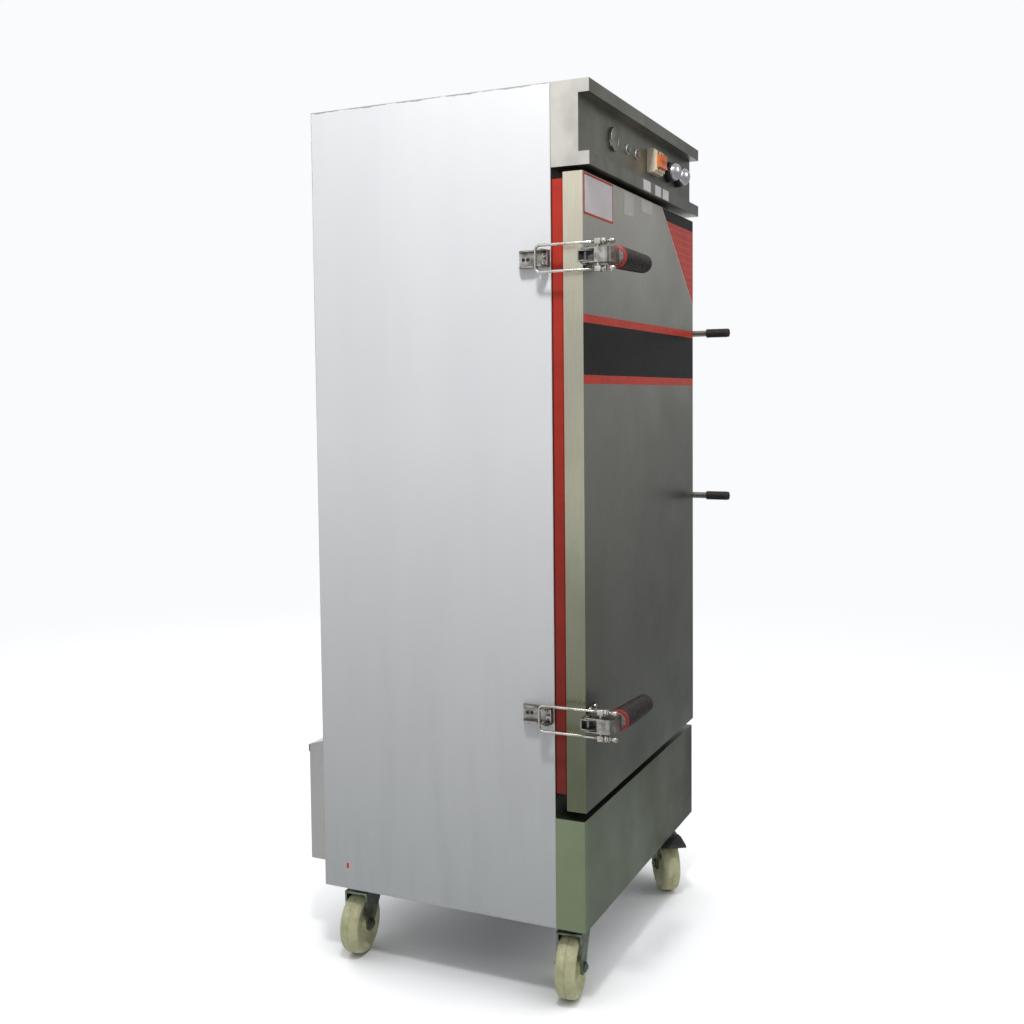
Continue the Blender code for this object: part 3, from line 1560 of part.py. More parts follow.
def latches(door):
    pivot_x, pivot_y = latch_pivot()
    for name, place in zip(("lower", "upper"), latch_heights):
        z = base_z + place
        pivot = (pivot_x, pivot_y, z)
        piece("keeper_" + name, keeper(z + keeper_rise), steel("keeper_steel_" + name))
        base = piece("latch_base_" + name, latch_base(z), steel("latch_base_steel_" + name))
        carried(base, door)
        lever = piece("latch_lever_" + name, latch_lever(z), steel("lever_steel_" + name), pivot)
        carried(lever, door)
        rubber = finish("grip_rubber_" + name, (0.03, 0.03, 0.03), 0.7, 0.0)
        carried(piece("latch_grip_" + name, latch_grip(z), rubber), lever)
        cross_pin = (pivot_x, pivot_y - latch_arm, z)
        bar = piece("latch_bar_" + name, latch_bar(z), steel("bar_steel_" + name), cross_pin)
        carried(bar, lever)


def crown_low():
    return 2 * wheel_radius + fork_crown_clearance


def pedal_faces():
    """How far the inner and outer faces of the pedal's cheeks stand from the castor's middle."""
    inner = fork_inner_half + fork_sheet + pedal_side_gap
    return inner, max(inner + pedal_sheet, pedal_width / 2)


def fork_mesh(braked):
    """A castor fork about its swivel axis: crown, swivel ring, two tapered cheeks and the axle bolt."""
    outer_half = fork_inner_half + fork_sheet
    low = crown_low()
    high = low + fork_sheet
    front = caster_trail + fork_front
    crown = block((-fork_back, -outer_half, low), (front, outer_half, high))
    foot = arc((caster_trail, wheel_radius), fork_foot_radius, 180, 360, 6)
    cheek = foot + [(front, high - fork_sheet / 2), (-fork_back, high - fork_sheet / 2)]
    parts = []
    for sign in (-1, 1):
        start, stop = sorted((sign * fork_inner_half, sign * outer_half))
        parts.append(prism(cheek, start, stop, "Y"))
    ring_high = high + caster_swivel_height
    ring_low = high - fork_sheet / 2
    parts.append(rod(caster_swivel_radius, ring_low, ring_high, "Z", (0.0, 0.0, 0.0), fine_sides))
    head = axle_head_height
    profile = (
        (axle_head_radius, -outer_half - head),
        (axle_head_radius, -outer_half + fork_sheet / 2),
        (axle_radius, -outer_half + fork_sheet / 2),
        (axle_radius, outer_half - fork_sheet / 2),
        (axle_head_radius, outer_half - fork_sheet / 2),
        (axle_head_radius, outer_half + head),
    )
    parts.append(turned(profile, round_sides, "Y", (caster_trail, 0.0, wheel_radius)))
    if braked:
        pin_x, pin_z = pedal_pivot()
        shank = pedal_faces()[1] + running
        for sign in (-1, 1):
            profile = (
                (pedal_pin_radius, sign * (outer_half - fork_sheet / 2)),
                (pedal_pin_radius, sign * shank),
                (pedal_pin_head_radius, sign * shank),
                (pedal_pin_head_radius, sign * (shank + pedal_pin_head)),
            )
            parts.append(turned(profile, bar_sides, "Y", (pin_x, 0.0, pin_z)))
    fork = united(crown, *parts)
    hole_radius = caster_kingpin_radius + loose
    hole = rod(hole_radius, low - overrun, ring_high + overrun, "Z", (0.0, 0.0, 0.0))
    return cut(fork, hole)


def wheel_mesh():
    """A nylon wheel about its axle: a crowned tread, dished faces and a hub with its bore."""
    across_flats = 1 / math.cos(math.pi / wheel_sides)
    profile = [
        (wheel_hub_radius, -wheel_hub_half),
        (wheel_hub_radius, -wheel_web_half),
        (wheel_web_radius, -wheel_web_half),
    ]
    for drop, half in zip(reversed(wheel_shoulder_drops), reversed(wheel_shoulder_halves)):
        profile.append(((wheel_radius - drop) * across_flats, -half))
    profile.append((wheel_radius * across_flats, -wheel_tread_half))
    profile += [(radius, -place) for radius, place in reversed(profile)]
    wheel = turned(profile, wheel_sides, "Y", (0.0, 0.0, 0.0), half_turned=True)
    bore_half = wheel_hub_half + overrun
    bore = rod(axle_radius + loose, -bore_half, bore_half, "Y", (0.0, 0.0, 0.0))
    return cut(wheel, bore)


def pedal_pivot():
    """The brake pedal's pivot as (x, z) in the castor's own frame."""
    return caster_trail + pedal_start - pedal_sheet * 4, crown_low() - pedal_cheek_height / 2


def pedal_mesh():
    """A brake pedal: a dished plate over the wheel with a cheek down each side of the fork."""
    inner, outer = pedal_faces()
    start = caster_trail + pedal_start
    stop = start + pedal_length
    top = crown_low() + pedal_sheet
    outline = [
        (start, top - pedal_sheet),
        (stop - pedal_sheet * 2, top - pedal_sheet - pedal_drop),
        (stop, top - pedal_sheet - pedal_lip_drop),
        (stop + pedal_sheet, top - pedal_lip_drop),
        (stop - pedal_sheet, top - pedal_drop),
        (start, top),
    ]
    plate = prism(outline, -outer, outer, "Y")
    back = pedal_pivot()[0] - pedal_cheek_back
    cheek_outline = [
        (back, top - pedal_cheek_height),
        (back + pedal_cheek_height, top - pedal_cheek_height),
        (stop - pedal_length / 3, top - pedal_drop),
        (start + pedal_sheet / 2, top - pedal_sheet / 2),
        (back, top - pedal_sheet / 2),
    ]
    parts = []
    for sign in (-1, 1):
        low, high = sorted((sign * inner, sign * outer))
        parts.append(prism(cheek_outline, low, high, "Y"))
    pin_x, pin_z = pedal_pivot()
    hole = rod(pedal_pin_radius + running, -outer - overrun, outer + overrun, "Y", (pin_x, 0.0, pin_z))
    pedal = cut(united(plate, *parts), hole)
    pedal.data.transform(Matrix.Translation((-pedal_pivot()[0], 0.0, -pedal_pivot()[1])))
    return pedal


def casters():
    """Four swivel castors, each turned as it stands after rolling into place."""
    fork = fork_mesh(False)
    braked_fork = fork_mesh(True)
    wheel = wheel_mesh()
    pedal = pedal_mesh()
    for corner, (x, y, z) in caster_places().items():
        swivel = bpy.data.objects.new("caster_" + corner, None)
        bpy.context.scene.collection.objects.link(swivel)
        swivel.location = (x, y, z)
        swivel.rotation_euler = (0.0, 0.0, math.radians(caster_angles_degrees[corner]))
        own_fork = braked_fork if corner in pedal_braked else fork
        zinc = finish("fork_zinc_" + corner, (0.30, 0.33, 0.28), 0.45, 1.0)
        nylon = finish("wheel_nylon_" + corner, (0.62, 0.60, 0.42), 0.45, 0.0)
        pieces = [
            ("fork_" + corner, own_fork, (0.0, 0.0, 0.0), zinc),
            ("wheel_" + corner, wheel, (caster_trail, 0.0, wheel_radius), nylon),
        ]
        if corner in pedal_braked:
            black = finish("pedal_black_" + corner, (0.03, 0.03, 0.03), 0.5, 0.0)
            pedal_x, pedal_z = pedal_pivot()
            pieces.append(("brake_pedal_" + corner, pedal, (pedal_x, 0.0, pedal_z), black))
        for name, pattern, place, material in pieces:
            copy = bpy.data.objects.new(name, pattern.data.copy())
            bpy.context.scene.collection.objects.link(copy)
            piece(name, copy, material)
            copy.parent = swivel
            copy.location = place
    for pattern in (fork, braked_fork, wheel, pedal):
        bpy.data.objects.remove(pattern, do_unlink=True)


def build():
    clear_scene()
    side_sheets()
    back_and_top()
    floor_pan()
    inner_liner()
    insulation()
    control_fascia()
    plinth_box()
    blanking_cap()
    pilot_lamps()
    breaker()
    knobs()
    racks()
    trays()
    heater_tubes()
    supply_tank()
    float_arm()
    supply_tank_lid()
    drain_valve()
    steam_vent()
    cable_gland()
    hinges()
    door = door_shell()
    pull_grips(door)
    door_inside(door)
    latches(door)
    casters()


build()
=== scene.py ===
# %% [markdown]
# # Rice steamer cabinet
#
# The real thing is an insulated stainless steel cabinet on four castors. Rice is steamed on trays inside
# it, over a basin of boiling water, behind a door that two draw latches pull shut. A packed model already
# holds the true shapes and joints, so this lesson dresses that model: it gives each piece its finish, and
# swaps the small turned and moulded pieces for finer ones that sit in the same places.

# %% Load the packed model
import json
import math

import bmesh
import bpy
from mathutils import Matrix, Vector


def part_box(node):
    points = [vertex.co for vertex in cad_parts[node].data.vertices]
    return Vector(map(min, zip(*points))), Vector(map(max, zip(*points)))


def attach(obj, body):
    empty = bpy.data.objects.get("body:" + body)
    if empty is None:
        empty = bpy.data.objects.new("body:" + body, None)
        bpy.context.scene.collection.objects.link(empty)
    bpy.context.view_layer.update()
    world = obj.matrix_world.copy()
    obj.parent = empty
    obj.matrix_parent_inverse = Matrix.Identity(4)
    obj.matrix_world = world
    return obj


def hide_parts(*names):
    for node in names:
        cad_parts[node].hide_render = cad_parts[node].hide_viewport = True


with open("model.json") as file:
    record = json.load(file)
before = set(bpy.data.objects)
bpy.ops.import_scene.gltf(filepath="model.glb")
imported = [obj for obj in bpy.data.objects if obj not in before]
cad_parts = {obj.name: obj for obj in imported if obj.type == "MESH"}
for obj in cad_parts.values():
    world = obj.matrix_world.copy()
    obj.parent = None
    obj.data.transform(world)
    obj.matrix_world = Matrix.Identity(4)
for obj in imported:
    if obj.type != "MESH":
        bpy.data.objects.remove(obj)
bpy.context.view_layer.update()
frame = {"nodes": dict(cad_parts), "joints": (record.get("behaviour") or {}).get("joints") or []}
nodes = frame["nodes"]

# %% [markdown]
# ## The camera
#
# The photograph was taken from the cabinet's left front, a little above its middle, with a fairly long
# lens. A camera can be aimed with a Track To constraint, or by typing its angles. The angles were measured
# here from the cabinet's straight edges, so they are typed, and the small lens shift puts the picture's
# middle where it was.

# %% Camera
yaw, pitch, roll = (math.radians(angle) for angle in (65.005, -3.38, -0.596))
forward = Vector((math.sin(yaw) * math.cos(pitch), math.cos(yaw) * math.cos(pitch), math.sin(pitch)))
right = Vector((math.cos(yaw), -math.sin(yaw), 0.0))
up = right.cross(forward)
camera_right = right * math.cos(roll) + up * math.sin(roll)
camera_up = up * math.cos(roll) - right * math.sin(roll)
camera_data = bpy.data.cameras.new("studio_camera")
camera = bpy.data.objects.new("studio_camera", camera_data)
bpy.context.scene.collection.objects.link(camera)
panel_low, panel_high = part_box("side_panel_left")
camera_place = panel_low + Vector((-1.9749, -0.8193, 0.9794))
camera_turn = Matrix((camera_right, camera_up, -forward)).transposed()
camera.matrix_world = Matrix.Translation(camera_place) @ camera_turn.to_4x4()
camera_data.sensor_width = 36.0
camera_data.lens = 41.733
camera_data.shift_x = 0.0099
camera_data.shift_y = -0.04345
camera_data.clip_start = 0.02
bpy.context.scene.camera = camera
print("camera at", [round(value, 3) for value in camera.location])

# %% [markdown]
# ## A small kit for node graphs
#
# The room, the floor and every finish below are node graphs. A finish is a Principled shader whose colour,
# roughness and bump come from noise laid over the piece. Image textures would need files and unwrapping.
# Noise in the object's own space needs neither, stays at its true size on every piece, and moves with the
# door and the wheels.

# %% Helpers for graphs
paper_white = (0.955, 0.965, 0.98)


class Graph:
    """A node tree and the short calls that build it."""

    def __init__(self, owner):
        owner.use_nodes = True
        self.nodes = owner.node_tree.nodes
        self.links = owner.node_tree.links

    def feed(self, socket, value):
        """Gives a socket another node's output, a number, a vector, or a tuple as a colour."""
        if isinstance(value, bpy.types.NodeSocket):
            self.links.new(value, socket)
        else:
            socket.default_value = (*value, 1.0) if isinstance(value, tuple) else value

    def add(self, kind, inputs=None, output=0, **settings):
        """Adds a node and returns one of its outputs. Its inputs go by a socket's name or number."""
        node = self.nodes.new("ShaderNode" + kind)
        for name, value in settings.items():
            setattr(node, name, value)
        for name, value in (inputs or {}).items():
            self.feed(node.inputs[name], value)
        return node.outputs[output]

    def spread(self, value, low, high, to_low=0.0, to_high=1.0, ease="LINEAR"):
        """Maps a range of values to another one, and holds it at both ends."""
        span = {"Value": value, "From Min": low, "From Max": high, "To Min": to_low, "To Max": to_high}
        return self.add("MapRange", span, "Result", interpolation_type=ease)

    def sum(self, operation, first, second):
        """One Math node; each side is a number or another node's output."""
        return self.add("Math", {0: first, 1: second}, operation=operation)

    def either(self, share, first, second):
        """Goes over from one shader to another by a share."""
        return self.add("MixShader", {0: share, 1: first, 2: second})

    def white(self, kind, strength=1.0):
        """Light in the paper's white, from a Background or an Emission node."""
        return self.add(kind, {"Color": paper_white, "Strength": strength})

    def rays(self):
        """Two shares: 1 for the camera's rays, and 1 for rays that come by a mirror or through glass."""
        ray = self.nodes.new("ShaderNodeLightPath").outputs
        return ray["Is Camera Ray"], self.sum("MAXIMUM", ray["Is Glossy Ray"], ray["Is Transmission Ray"])


class Finish(Graph):
    """A material: a Principled shader, and the calls that drive its sockets."""

    def __init__(self, name, colour, roughness, metallic=0.0, **others):
        self.material = bpy.data.materials.new(name)
        super().__init__(self.material)
        self.shader = self.nodes["Principled BSDF"]
        self.set(Base_Color=colour, Roughness=roughness, Metallic=metallic, **others)
        self.material.diffuse_color = (*colour, 1.0)
        self.place = self.add("TexCoord", output="Object")

    def set(self, **values):
        """Feeds the shader's own sockets."""
        for name, value in values.items():
            self.feed(self.shader.inputs[name.replace("_", " ")], value)

    def scaled(self, x, y, z):
        """The piece's own coordinates, stretched along each axis."""
        return self.add("Mapping", {"Vector": self.place, "Scale": Vector((x, y, z))})

    def noise(self, scale, detail=3.0, vector=None, roughness=0.55):
        shape = {"Vector": vector or self.place, "Scale": scale, "Detail": detail, "Roughness": roughness}
        return self.add("TexNoise", shape, "Fac")

    def cells(self, scale):
        return self.add("TexVoronoi", {"Vector": self.place, "Scale": scale}, "Distance")

    def axis(self, letter):
        return self.add("SeparateXYZ", {0: self.place}, letter)

    def blended(self, share, first, second, kind="MIX"):
        """Two colours mixed by a share; each is a colour or another node's output."""
        return self.add("Mix", {"Factor": share, 6: first, 7: second}, 2, data_type="RGBA", blend_type=kind)

    def shaded_in_corners(self, colour, reach, dark):
        """Paints shade: darkens a colour in folds and corners narrower than the reach."""
        openness = self.add("AmbientOcclusion", {"Distance": reach}, "AO", samples=6)
        return self.blended(1.0, colour, self.spread(openness, 0.25, 0.85, dark, 1.0), "MULTIPLY")

    def tones(self, mask, start, stop, first, second):
        """Colour goes from the first tone to the second where a mask rises from start to stop."""
        self.set(Base_Color=self.blended(self.spread(mask, start, stop), first, second))

    def dull(self, mask, least, most, start=0.3, stop=0.7):
        """Roughness goes from least to most where a mask rises from start to stop."""
        self.set(Roughness=self.spread(mask, start, stop, least, most))

    def bump(self, height, distance, strength):
        self.set(Normal=self.add("Bump", {"Height": height, "Distance": distance, "Strength": strength}))

    def mottled(self, grain, span, first, second, rough, bump=()):
        """One noise drives it all: two tones over a span, least and most roughness, and a bump if given."""
        mask = self.noise(*grain)
        self.tones(mask, *span, first, second)
        self.dull(mask, *rough)
        if bump:
            self.bump(mask, *bump)


def starting(*starts):
    """The names of the model's pieces that start in one of these ways."""
    return [name for name in nodes if name.startswith(starts)]


def wear(finish, *starts):
    """Gives a finish to the pieces whose names start so, in place of their plain one."""
    for name in starting(*starts):
        for slot in nodes[name].material_slots:
            slot.material = finish.material


def tinted(colour, share):
    """A colour made lighter or darker by a share."""
    return tuple(part * share for part in colour)


kit = [name for name in (*vars(Graph), *vars(Finish)) if not name.startswith("_")]
print("calls in the kit:", ", ".join(kit))

# %% [markdown]
# ## The studio
#
# Steel shows whatever stands round it, so a picture of steel is made by the room. Here the room is white
# paper behind and to the left, and it falls off to grey at the front right. The cabinet's left faces mirror
# the white side and its front mirrors the grey side, which is why one and the same sheet looks light on one
# face and dark on the next. A lamp could do this too, but it would burn out the pale film on the side
# sheets.

# %% World
grey_side, fill_strength = 0.26, 0.44
world = bpy.data.worlds.new("studio_world")
bpy.context.scene.world = world
sky = Graph(world)
heading_y = sky.add("SeparateXYZ", {0: sky.add("TexCoord", output="Generated")}, "Y")
mirrored = sky.white("Background", sky.spread(heading_y, -0.42, 0.12, grey_side, 1.0, "SMOOTHSTEP"))
camera_ray, mirror_ray = sky.rays()
not_seen = sky.either(mirror_ray, sky.white("Background", fill_strength), mirrored)
room = sky.either(camera_ray, not_seen, sky.white("Background"))
sky.feed(sky.nodes["World Output"].inputs["Surface"], room)
print("room: white", max(paper_white), "grey side", grey_side)

# %% [markdown]
# ## Floor
#
# A plain sheet of paper would turn grey where the lamps don't reach, and show a horizon. So the sheet adds
# a little glow of its own for the camera, and fades into the room's white with distance, for mirror rays
# too. Ambient occlusion dims the glow under the cabinet, so the shadow stays.

# %% Floor sheet
reach = 60
floor_mesh = bpy.data.meshes.new("studio_floor")
sheet_corners = [(-reach, -reach, 0), (reach, -reach, 0), (reach, reach, 0), (-reach, reach, 0)]
floor_mesh.from_pydata(sheet_corners, [], [(0, 1, 2, 3)])
studio_floor = bpy.data.objects.new("studio_floor", floor_mesh)
bpy.context.scene.collection.objects.link(studio_floor)
paper = Finish("studio_paper", (0.8, 0.81, 0.82), 0.7, Specular_IOR_Level=0.2)
paper.bump(paper.noise(260.0, 2.0, roughness=0.5), 0.0002, 0.2)
lit = paper.shader.outputs[0]
openness = paper.add("AmbientOcclusion", {"Distance": 0.31}, "AO", samples=8)
glow = paper.white("Emission", paper.spread(openness, 0.26, 0.9, 0.0, 0.58, "SMOOTHSTEP"))
distance = paper.add("VectorMath", {0: paper.place}, "Value", operation="LENGTH")
far = paper.spread(distance, 1.1, 4.5, ease="SMOOTHSTEP")
sweep = paper.white("Emission")
seen = paper.either(far, paper.add("AddShader", {0: lit, 1: glow}), sweep)
on_grey_side = paper.spread(paper.axis("Y"), -1.0, -0.4, 1.0, 0.0, "SMOOTHSTEP")
in_mirror = paper.either(on_grey_side, paper.either(far, lit, sweep), paper.white("Emission", grey_side))
camera_ray, mirror_ray = paper.rays()
surface = paper.either(camera_ray, paper.either(mirror_ray, lit, in_mirror), seen)
paper.feed(paper.nodes["Material Output"].inputs["Surface"], surface)
floor_mesh.materials.append(paper.material)
print("floor side in metres:", 2 * reach)

# %% Lamps
def soft_lamp(name, place, target, size, power, colour=(1.0, 1.0, 1.0)):
    """A square area lamp that faces a point."""
    data = bpy.data.lights.new(name, "AREA")
    data.shape = "SQUARE"
    data.size = size
    data.energy = power
    data.color = colour
    lamp = bpy.data.objects.new(name, data)
    bpy.context.scene.collection.objects.link(lamp)
    lamp.location = place
    lamp.rotation_euler = (Vector(target) - Vector(place)).to_track_quat("-Z", "Y").to_euler()


soft_lamp("side_lamp", (-1.3, -0.42, 2.72), (-0.35, 0.0, 1.35), 0.25, 25.0)
soft_lamp("front_lamp", (0.2, -3.4, 2.9), (0.0, -0.2, 1.1), 1.8, 24.0, (1.0, 0.98, 0.95))
soft_lamp("back_lamp", (1.8, 3.2, 2.8), (0.0, 0.3, 1.0), 2.0, 36.0)
bpy.context.scene.view_settings.view_transform = "Standard"

# %% [markdown]
# ## Brushed stainless sheet
#
# Cabinet sheet is ground with a fine belt before it is folded, so it carries thousands of hair-thin lines
# one way, and over them the marks of hands, wiping and handling. Anisotropic shading could draw the long
# highlights, but it needs tangents on every sheet. Noise that is stretched along the belt's path does as
# well: it breaks up colour, roughness and bump together, and a second, slow noise adds the cloudy smears.

# %% Brushed steel
def brushed(name, colour, roughness, grain, painted_light_fades=(), cloud=0.0):
    """Ground sheet; the grain runs along one axis. Each painted-light fade goes over into another tone
    between two places: a painted highlight where lighter, painted shade where darker.
    """
    steel = Finish(name, colour, roughness, 1.0)
    fine, along = 900.0, 9.0
    stretch = {"X": (along, fine, fine), "Y": (fine, along, fine), "Z": (fine, fine, along)}[grain]
    hairs = steel.noise(1.0, 4.0, steel.scaled(*stretch), 0.7)
    smears = steel.noise(5.0, 5.0)
    prints = steel.noise(34.0, 3.0)
    streaks = steel.spread(hairs, 0.3, 0.7)
    tone = colour
    # Painted light: each fade lightens or darkens the sheet's colour between two places, as a painted
    # highlight or painted shade.
    for letter, start, stop, painted_tone, *kind in painted_light_fades:
        tone = steel.blended(steel.spread(steel.axis(letter), start, stop), tone, painted_tone, *kind)
    grain_shade = steel.spread(streaks, 0.0, 1.0, 0.88, 1.1)
    shade = steel.sum("MULTIPLY", grain_shade, steel.spread(smears, 0.35, 0.7, 1.0, 0.87))
    tone = steel.blended(1.0, tone, shade, "MULTIPLY")
    if cloud:
        dimmed = steel.spread(steel.noise(13.0, 2.0), 0.42, 0.62, 1.0, 1.0 - cloud)
        tone = steel.blended(1.0, tone, dimmed, "MULTIPLY")
    rough = steel.spread(streaks, 0.0, 1.0, roughness - 0.05, roughness + 0.06)
    rough = steel.sum("ADD", rough, steel.spread(smears, 0.4, 0.75, -0.03, 0.1))
    rough = steel.sum("ADD", rough, steel.spread(prints, 0.55, 0.75, 0.0, 0.05))
    steel.set(Base_Color=tone, Roughness=rough)
    steel.bump(hairs, 0.00004, 0.6)
    return steel


left_end = -0.35
at_left_edge = ("X", left_end + 0.001, left_end)
# Painted light on the door: painted shade darkens it towards the bottom and towards the right, a painted
# highlight lightens its top, and its left edge gets a warmer painted tone that is lifted in the dark.
door_painted_light = (
    ("Z", 1.4, 0.6, (0.345, 0.35, 0.305)),
    ("Z", 0.95, 0.42, (0.115, 0.125, 0.094)),
    ("Z", 1.26, 1.5, (0.84, 0.82, 0.74)),
    ("X", -0.1, 0.35, (0.84, 0.85, 0.84), "MULTIPLY"),
    (*at_left_edge, (0.8, 0.745, 0.675), "MULTIPLY"),
    (*at_left_edge, (0.066, 0.08, 0.05), "ADD"),
)
wear(brushed("door_brushed_steel", (0.51, 0.5, 0.455), 0.3, "Z", door_painted_light), "door_shell")
# Painted light on the fascia: painted shade darkens it towards the right, and its left end is painted
# lighter.
fascia_painted_light = (("X", -0.1, 0.35, (0.215, 0.215, 0.19)), (*at_left_edge, (0.74, 0.715, 0.65)))
fascia_steel = brushed("fascia_brushed_steel", (0.365, 0.362, 0.302), 0.33, "X", fascia_painted_light, 0.2)
wear(fascia_steel, "control_fascia")
# Painted shade on the plinth: its front is darker than its left end, and darker still towards the right.
plinth_painted_shade = (
    ("X", left_end + 0.001, left_end + 0.02, (0.215, 0.26, 0.18)),
    ("X", -0.3, 0.35, (0.06, 0.07, 0.036)),
)
wear(brushed("plinth_brushed_steel", (0.27, 0.32, 0.2), 0.38, "X", plinth_painted_shade), "plinth_box")
plain_sheets = (
    ("body", (0.5, 0.51, 0.51), 0.36, "Z", "side_panel_", "back_panel", "top_panel", "floor_pan"),
    ("liner", (0.55, 0.55, 0.54), 0.28, "Z", "inner_liner", "door_liner"),
    ("rack", (0.52, 0.52, 0.51), 0.3, "Y", "rack_"),
    ("tank", (0.52, 0.52, 0.5), 0.36, "X", "supply_tank", "steam_vent"),
)
for name, colour, roughness, grain, *starts in plain_sheets:
    wear(brushed(name + "_brushed_steel", colour, roughness, grain), *starts)
print("brushed finishes:", len([m for m in bpy.data.materials if "brushed" in m.name]))

# %% [markdown]
# ## Cast, plated and moulded pieces
#
# The latches are pressed steel with a bright plating that is pitted and a little yellow in its folds.
# Castor forks are zinc coated, with the flaky pattern that molten zinc leaves. Each gets its own recipe,
# because plating, zinc, nylon and rubber differ more in how rough and how mottled they are than in colour.

# %% Plated steel and zinc
plated = Finish("bright_plating", (0.62, 0.6, 0.55), 0.24, 1.0)
clouds = plated.noise(60.0, 3.0)
plated.tones(clouds, 0.4, 0.7, (0.66, 0.64, 0.6), (0.4, 0.37, 0.3))
plated.dull(clouds, 0.16, 0.42, 0.3, 0.75)
plated.bump(plated.sum("ADD", plated.noise(420.0, 4.0), clouds), 0.00012, 0.5)
wear(plated, "hinge_leaf_", "latch_bar_")

pressed = Finish("pressed_plating", (0.46, 0.45, 0.42), 0.34, 1.0)
dull_spots = pressed.noise(95.0, 4.0)
press_lines = pressed.noise(1.0, 3.0, pressed.scaled(700.0, 700.0, 60.0))
dulled = pressed.blended(pressed.spread(dull_spots, 0.38, 0.66), (0.48, 0.47, 0.44), (0.22, 0.205, 0.175))
# Painted shade darkens the plating in its folds and corners.
pressed.set(Base_Color=pressed.shaded_in_corners(dulled, 0.022, 0.04))
pressed.dull(dull_spots, 0.26, 0.5, 0.3, 0.75)
pressed.bump(pressed.sum("ADD", press_lines, dull_spots), 0.00012, 0.5)
wear(pressed, "keeper_", "latch_base_", "latch_lever_")

zinc = Finish("fork_zinc", (0.22, 0.26, 0.21), 0.42, 1.0)
flakes = zinc.cells(130.0)
stains = zinc.noise(28.0, 4.0)
flaky = zinc.blended(zinc.spread(flakes, 0.0, 0.6), (0.3, 0.36, 0.29), (0.19, 0.23, 0.18))
zinc.tones(stains, 0.42, 0.68, flaky, (0.13, 0.13, 0.1))
zinc.dull(stains, 0.34, 0.58)
zinc.bump(flakes, 0.0002, 0.25)
wear(zinc, "fork_")
print("pressed pieces:", sum(node.material_slots[0].material == pressed.material for node in nodes.values()))

# %% Nylon, rubber and silicone
nylon = Finish("wheel_nylon", (0.58, 0.57, 0.36), 0.42, Subsurface_Weight=0.05)
scuffs = nylon.noise(260.0, 3.0)
nylon.tones(nylon.noise(45.0, 4.0), 0.35, 0.7, (0.62, 0.61, 0.39), (0.42, 0.42, 0.22))
nylon.dull(scuffs, 0.34, 0.6, 0.3, 0.75)
nylon.bump(scuffs, 0.0002, 0.3)
wear(nylon, "wheel_")

rubber = Finish("grip_rubber", (0.016, 0.014, 0.013), 0.62)
rubber.mottled((70.0, 4.0), (0.5, 0.8), (0.015, 0.013, 0.012), (0.055, 0.045, 0.04), (0.52, 0.74))
rubber.bump(rubber.noise(900.0, 3.0), 0.0001, 0.4)
wear(rubber, "latch_grip_", "pull_grip_")

cup_grey = Finish("cup_grey", (0.2, 0.195, 0.18), 0.58)
cup_grey.mottled((160.0, 4.0), (0.4, 0.7), (0.22, 0.215, 0.2), (0.1, 0.095, 0.085), (0.5, 0.66))

worn_rubber = Finish("worn_rubber", (0.06, 0.04, 0.034), 0.5)
worn_rubber.mottled((210.0, 4.0), (0.42, 0.62), (0.018, 0.015, 0.013), (0.095, 0.054, 0.047), (0.42, 0.62))

collar_red = Finish("collar_red_rubber", (0.36, 0.03, 0.02), 0.52)
faded_reds = (0.34, 0.028, 0.02), (0.17, 0.024, 0.018)
collar_red.mottled((120.0, 3.0), (0.45, 0.8), *faded_reds, (0.4, 0.6), (0.0001, 0.3))

silicone = Finish("gasket_silicone", (0.5, 0.036, 0.02), 0.48, Specular_IOR_Level=0.22)
grime = silicone.noise(9.0, 5.0, silicone.scaled(1.0, 1.0, 2.2))
grimy = silicone.spread(grime, 0.45, 0.75, 0.0, 0.55)
red = silicone.blended(grimy, (0.52, 0.038, 0.021), (0.3, 0.022, 0.014))
# Painted shade: the red darkens towards the bottom.
painted_shade_low = silicone.spread(silicone.axis("Z"), 0.35, 1.5, 0.9, 0.0)
silicone.set(Base_Color=silicone.blended(painted_shade_low, red, (0.13, 0.018, 0.012)))
silicone.dull(grime, 0.38, 0.6)
silicone.bump(silicone.noise(320.0, 3.0), 0.00015, 0.35)
wear(silicone, "door_gasket")
print("finishes so far:", len(bpy.data.materials))

# %% Aluminium, brass, plastics and wool
aluminium = Finish("tray_aluminium", (0.7, 0.71, 0.72), 0.3, 1.0)
scale_marks = aluminium.noise(16.0, 5.0)
aluminium.tones(scale_marks, 0.52, 0.74, (0.71, 0.72, 0.73), (0.52, 0.52, 0.5))
aluminium.dull(scale_marks, 0.22, 0.46, 0.35, 0.75)
aluminium.bump(aluminium.noise(1.0, 3.0, aluminium.scaled(8.0, 420.0, 420.0)), 0.00005, 0.5)
wear(aluminium, "rice_tray_")

heater_skin = Finish("heater_nickel", (0.24, 0.22, 0.19), 0.48, 1.0)
lime = heater_skin.noise(90.0, 5.0)
heater_skin.tones(lime, 0.5, 0.72, (0.22, 0.2, 0.17), (0.46, 0.44, 0.4))
heater_skin.dull(lime, 0.36, 0.72, 0.35, 0.7)
heater_skin.bump(lime, 0.0004, 0.4)
wear(heater_skin, "heater_tubes")

brass = Finish("valve_brass", (0.6, 0.45, 0.2), 0.32, 1.0)
brass.mottled((55.0, 4.0), (0.45, 0.72), (0.64, 0.48, 0.22), (0.34, 0.23, 0.1), (0.24, 0.48), (0.0002, 0.3))
wear(brass, "drain_valve")

lever_red = Finish("lever_red_vinyl", (0.48, 0.025, 0.018), 0.36)
dipped = (0.5, 0.027, 0.02), (0.36, 0.018, 0.014)
lever_red.mottled((75.0, 3.0), (0.45, 0.75), *dipped, (0.28, 0.46), (0.0003, 0.3))
wear(lever_red, "drain_lever", "float_arm")

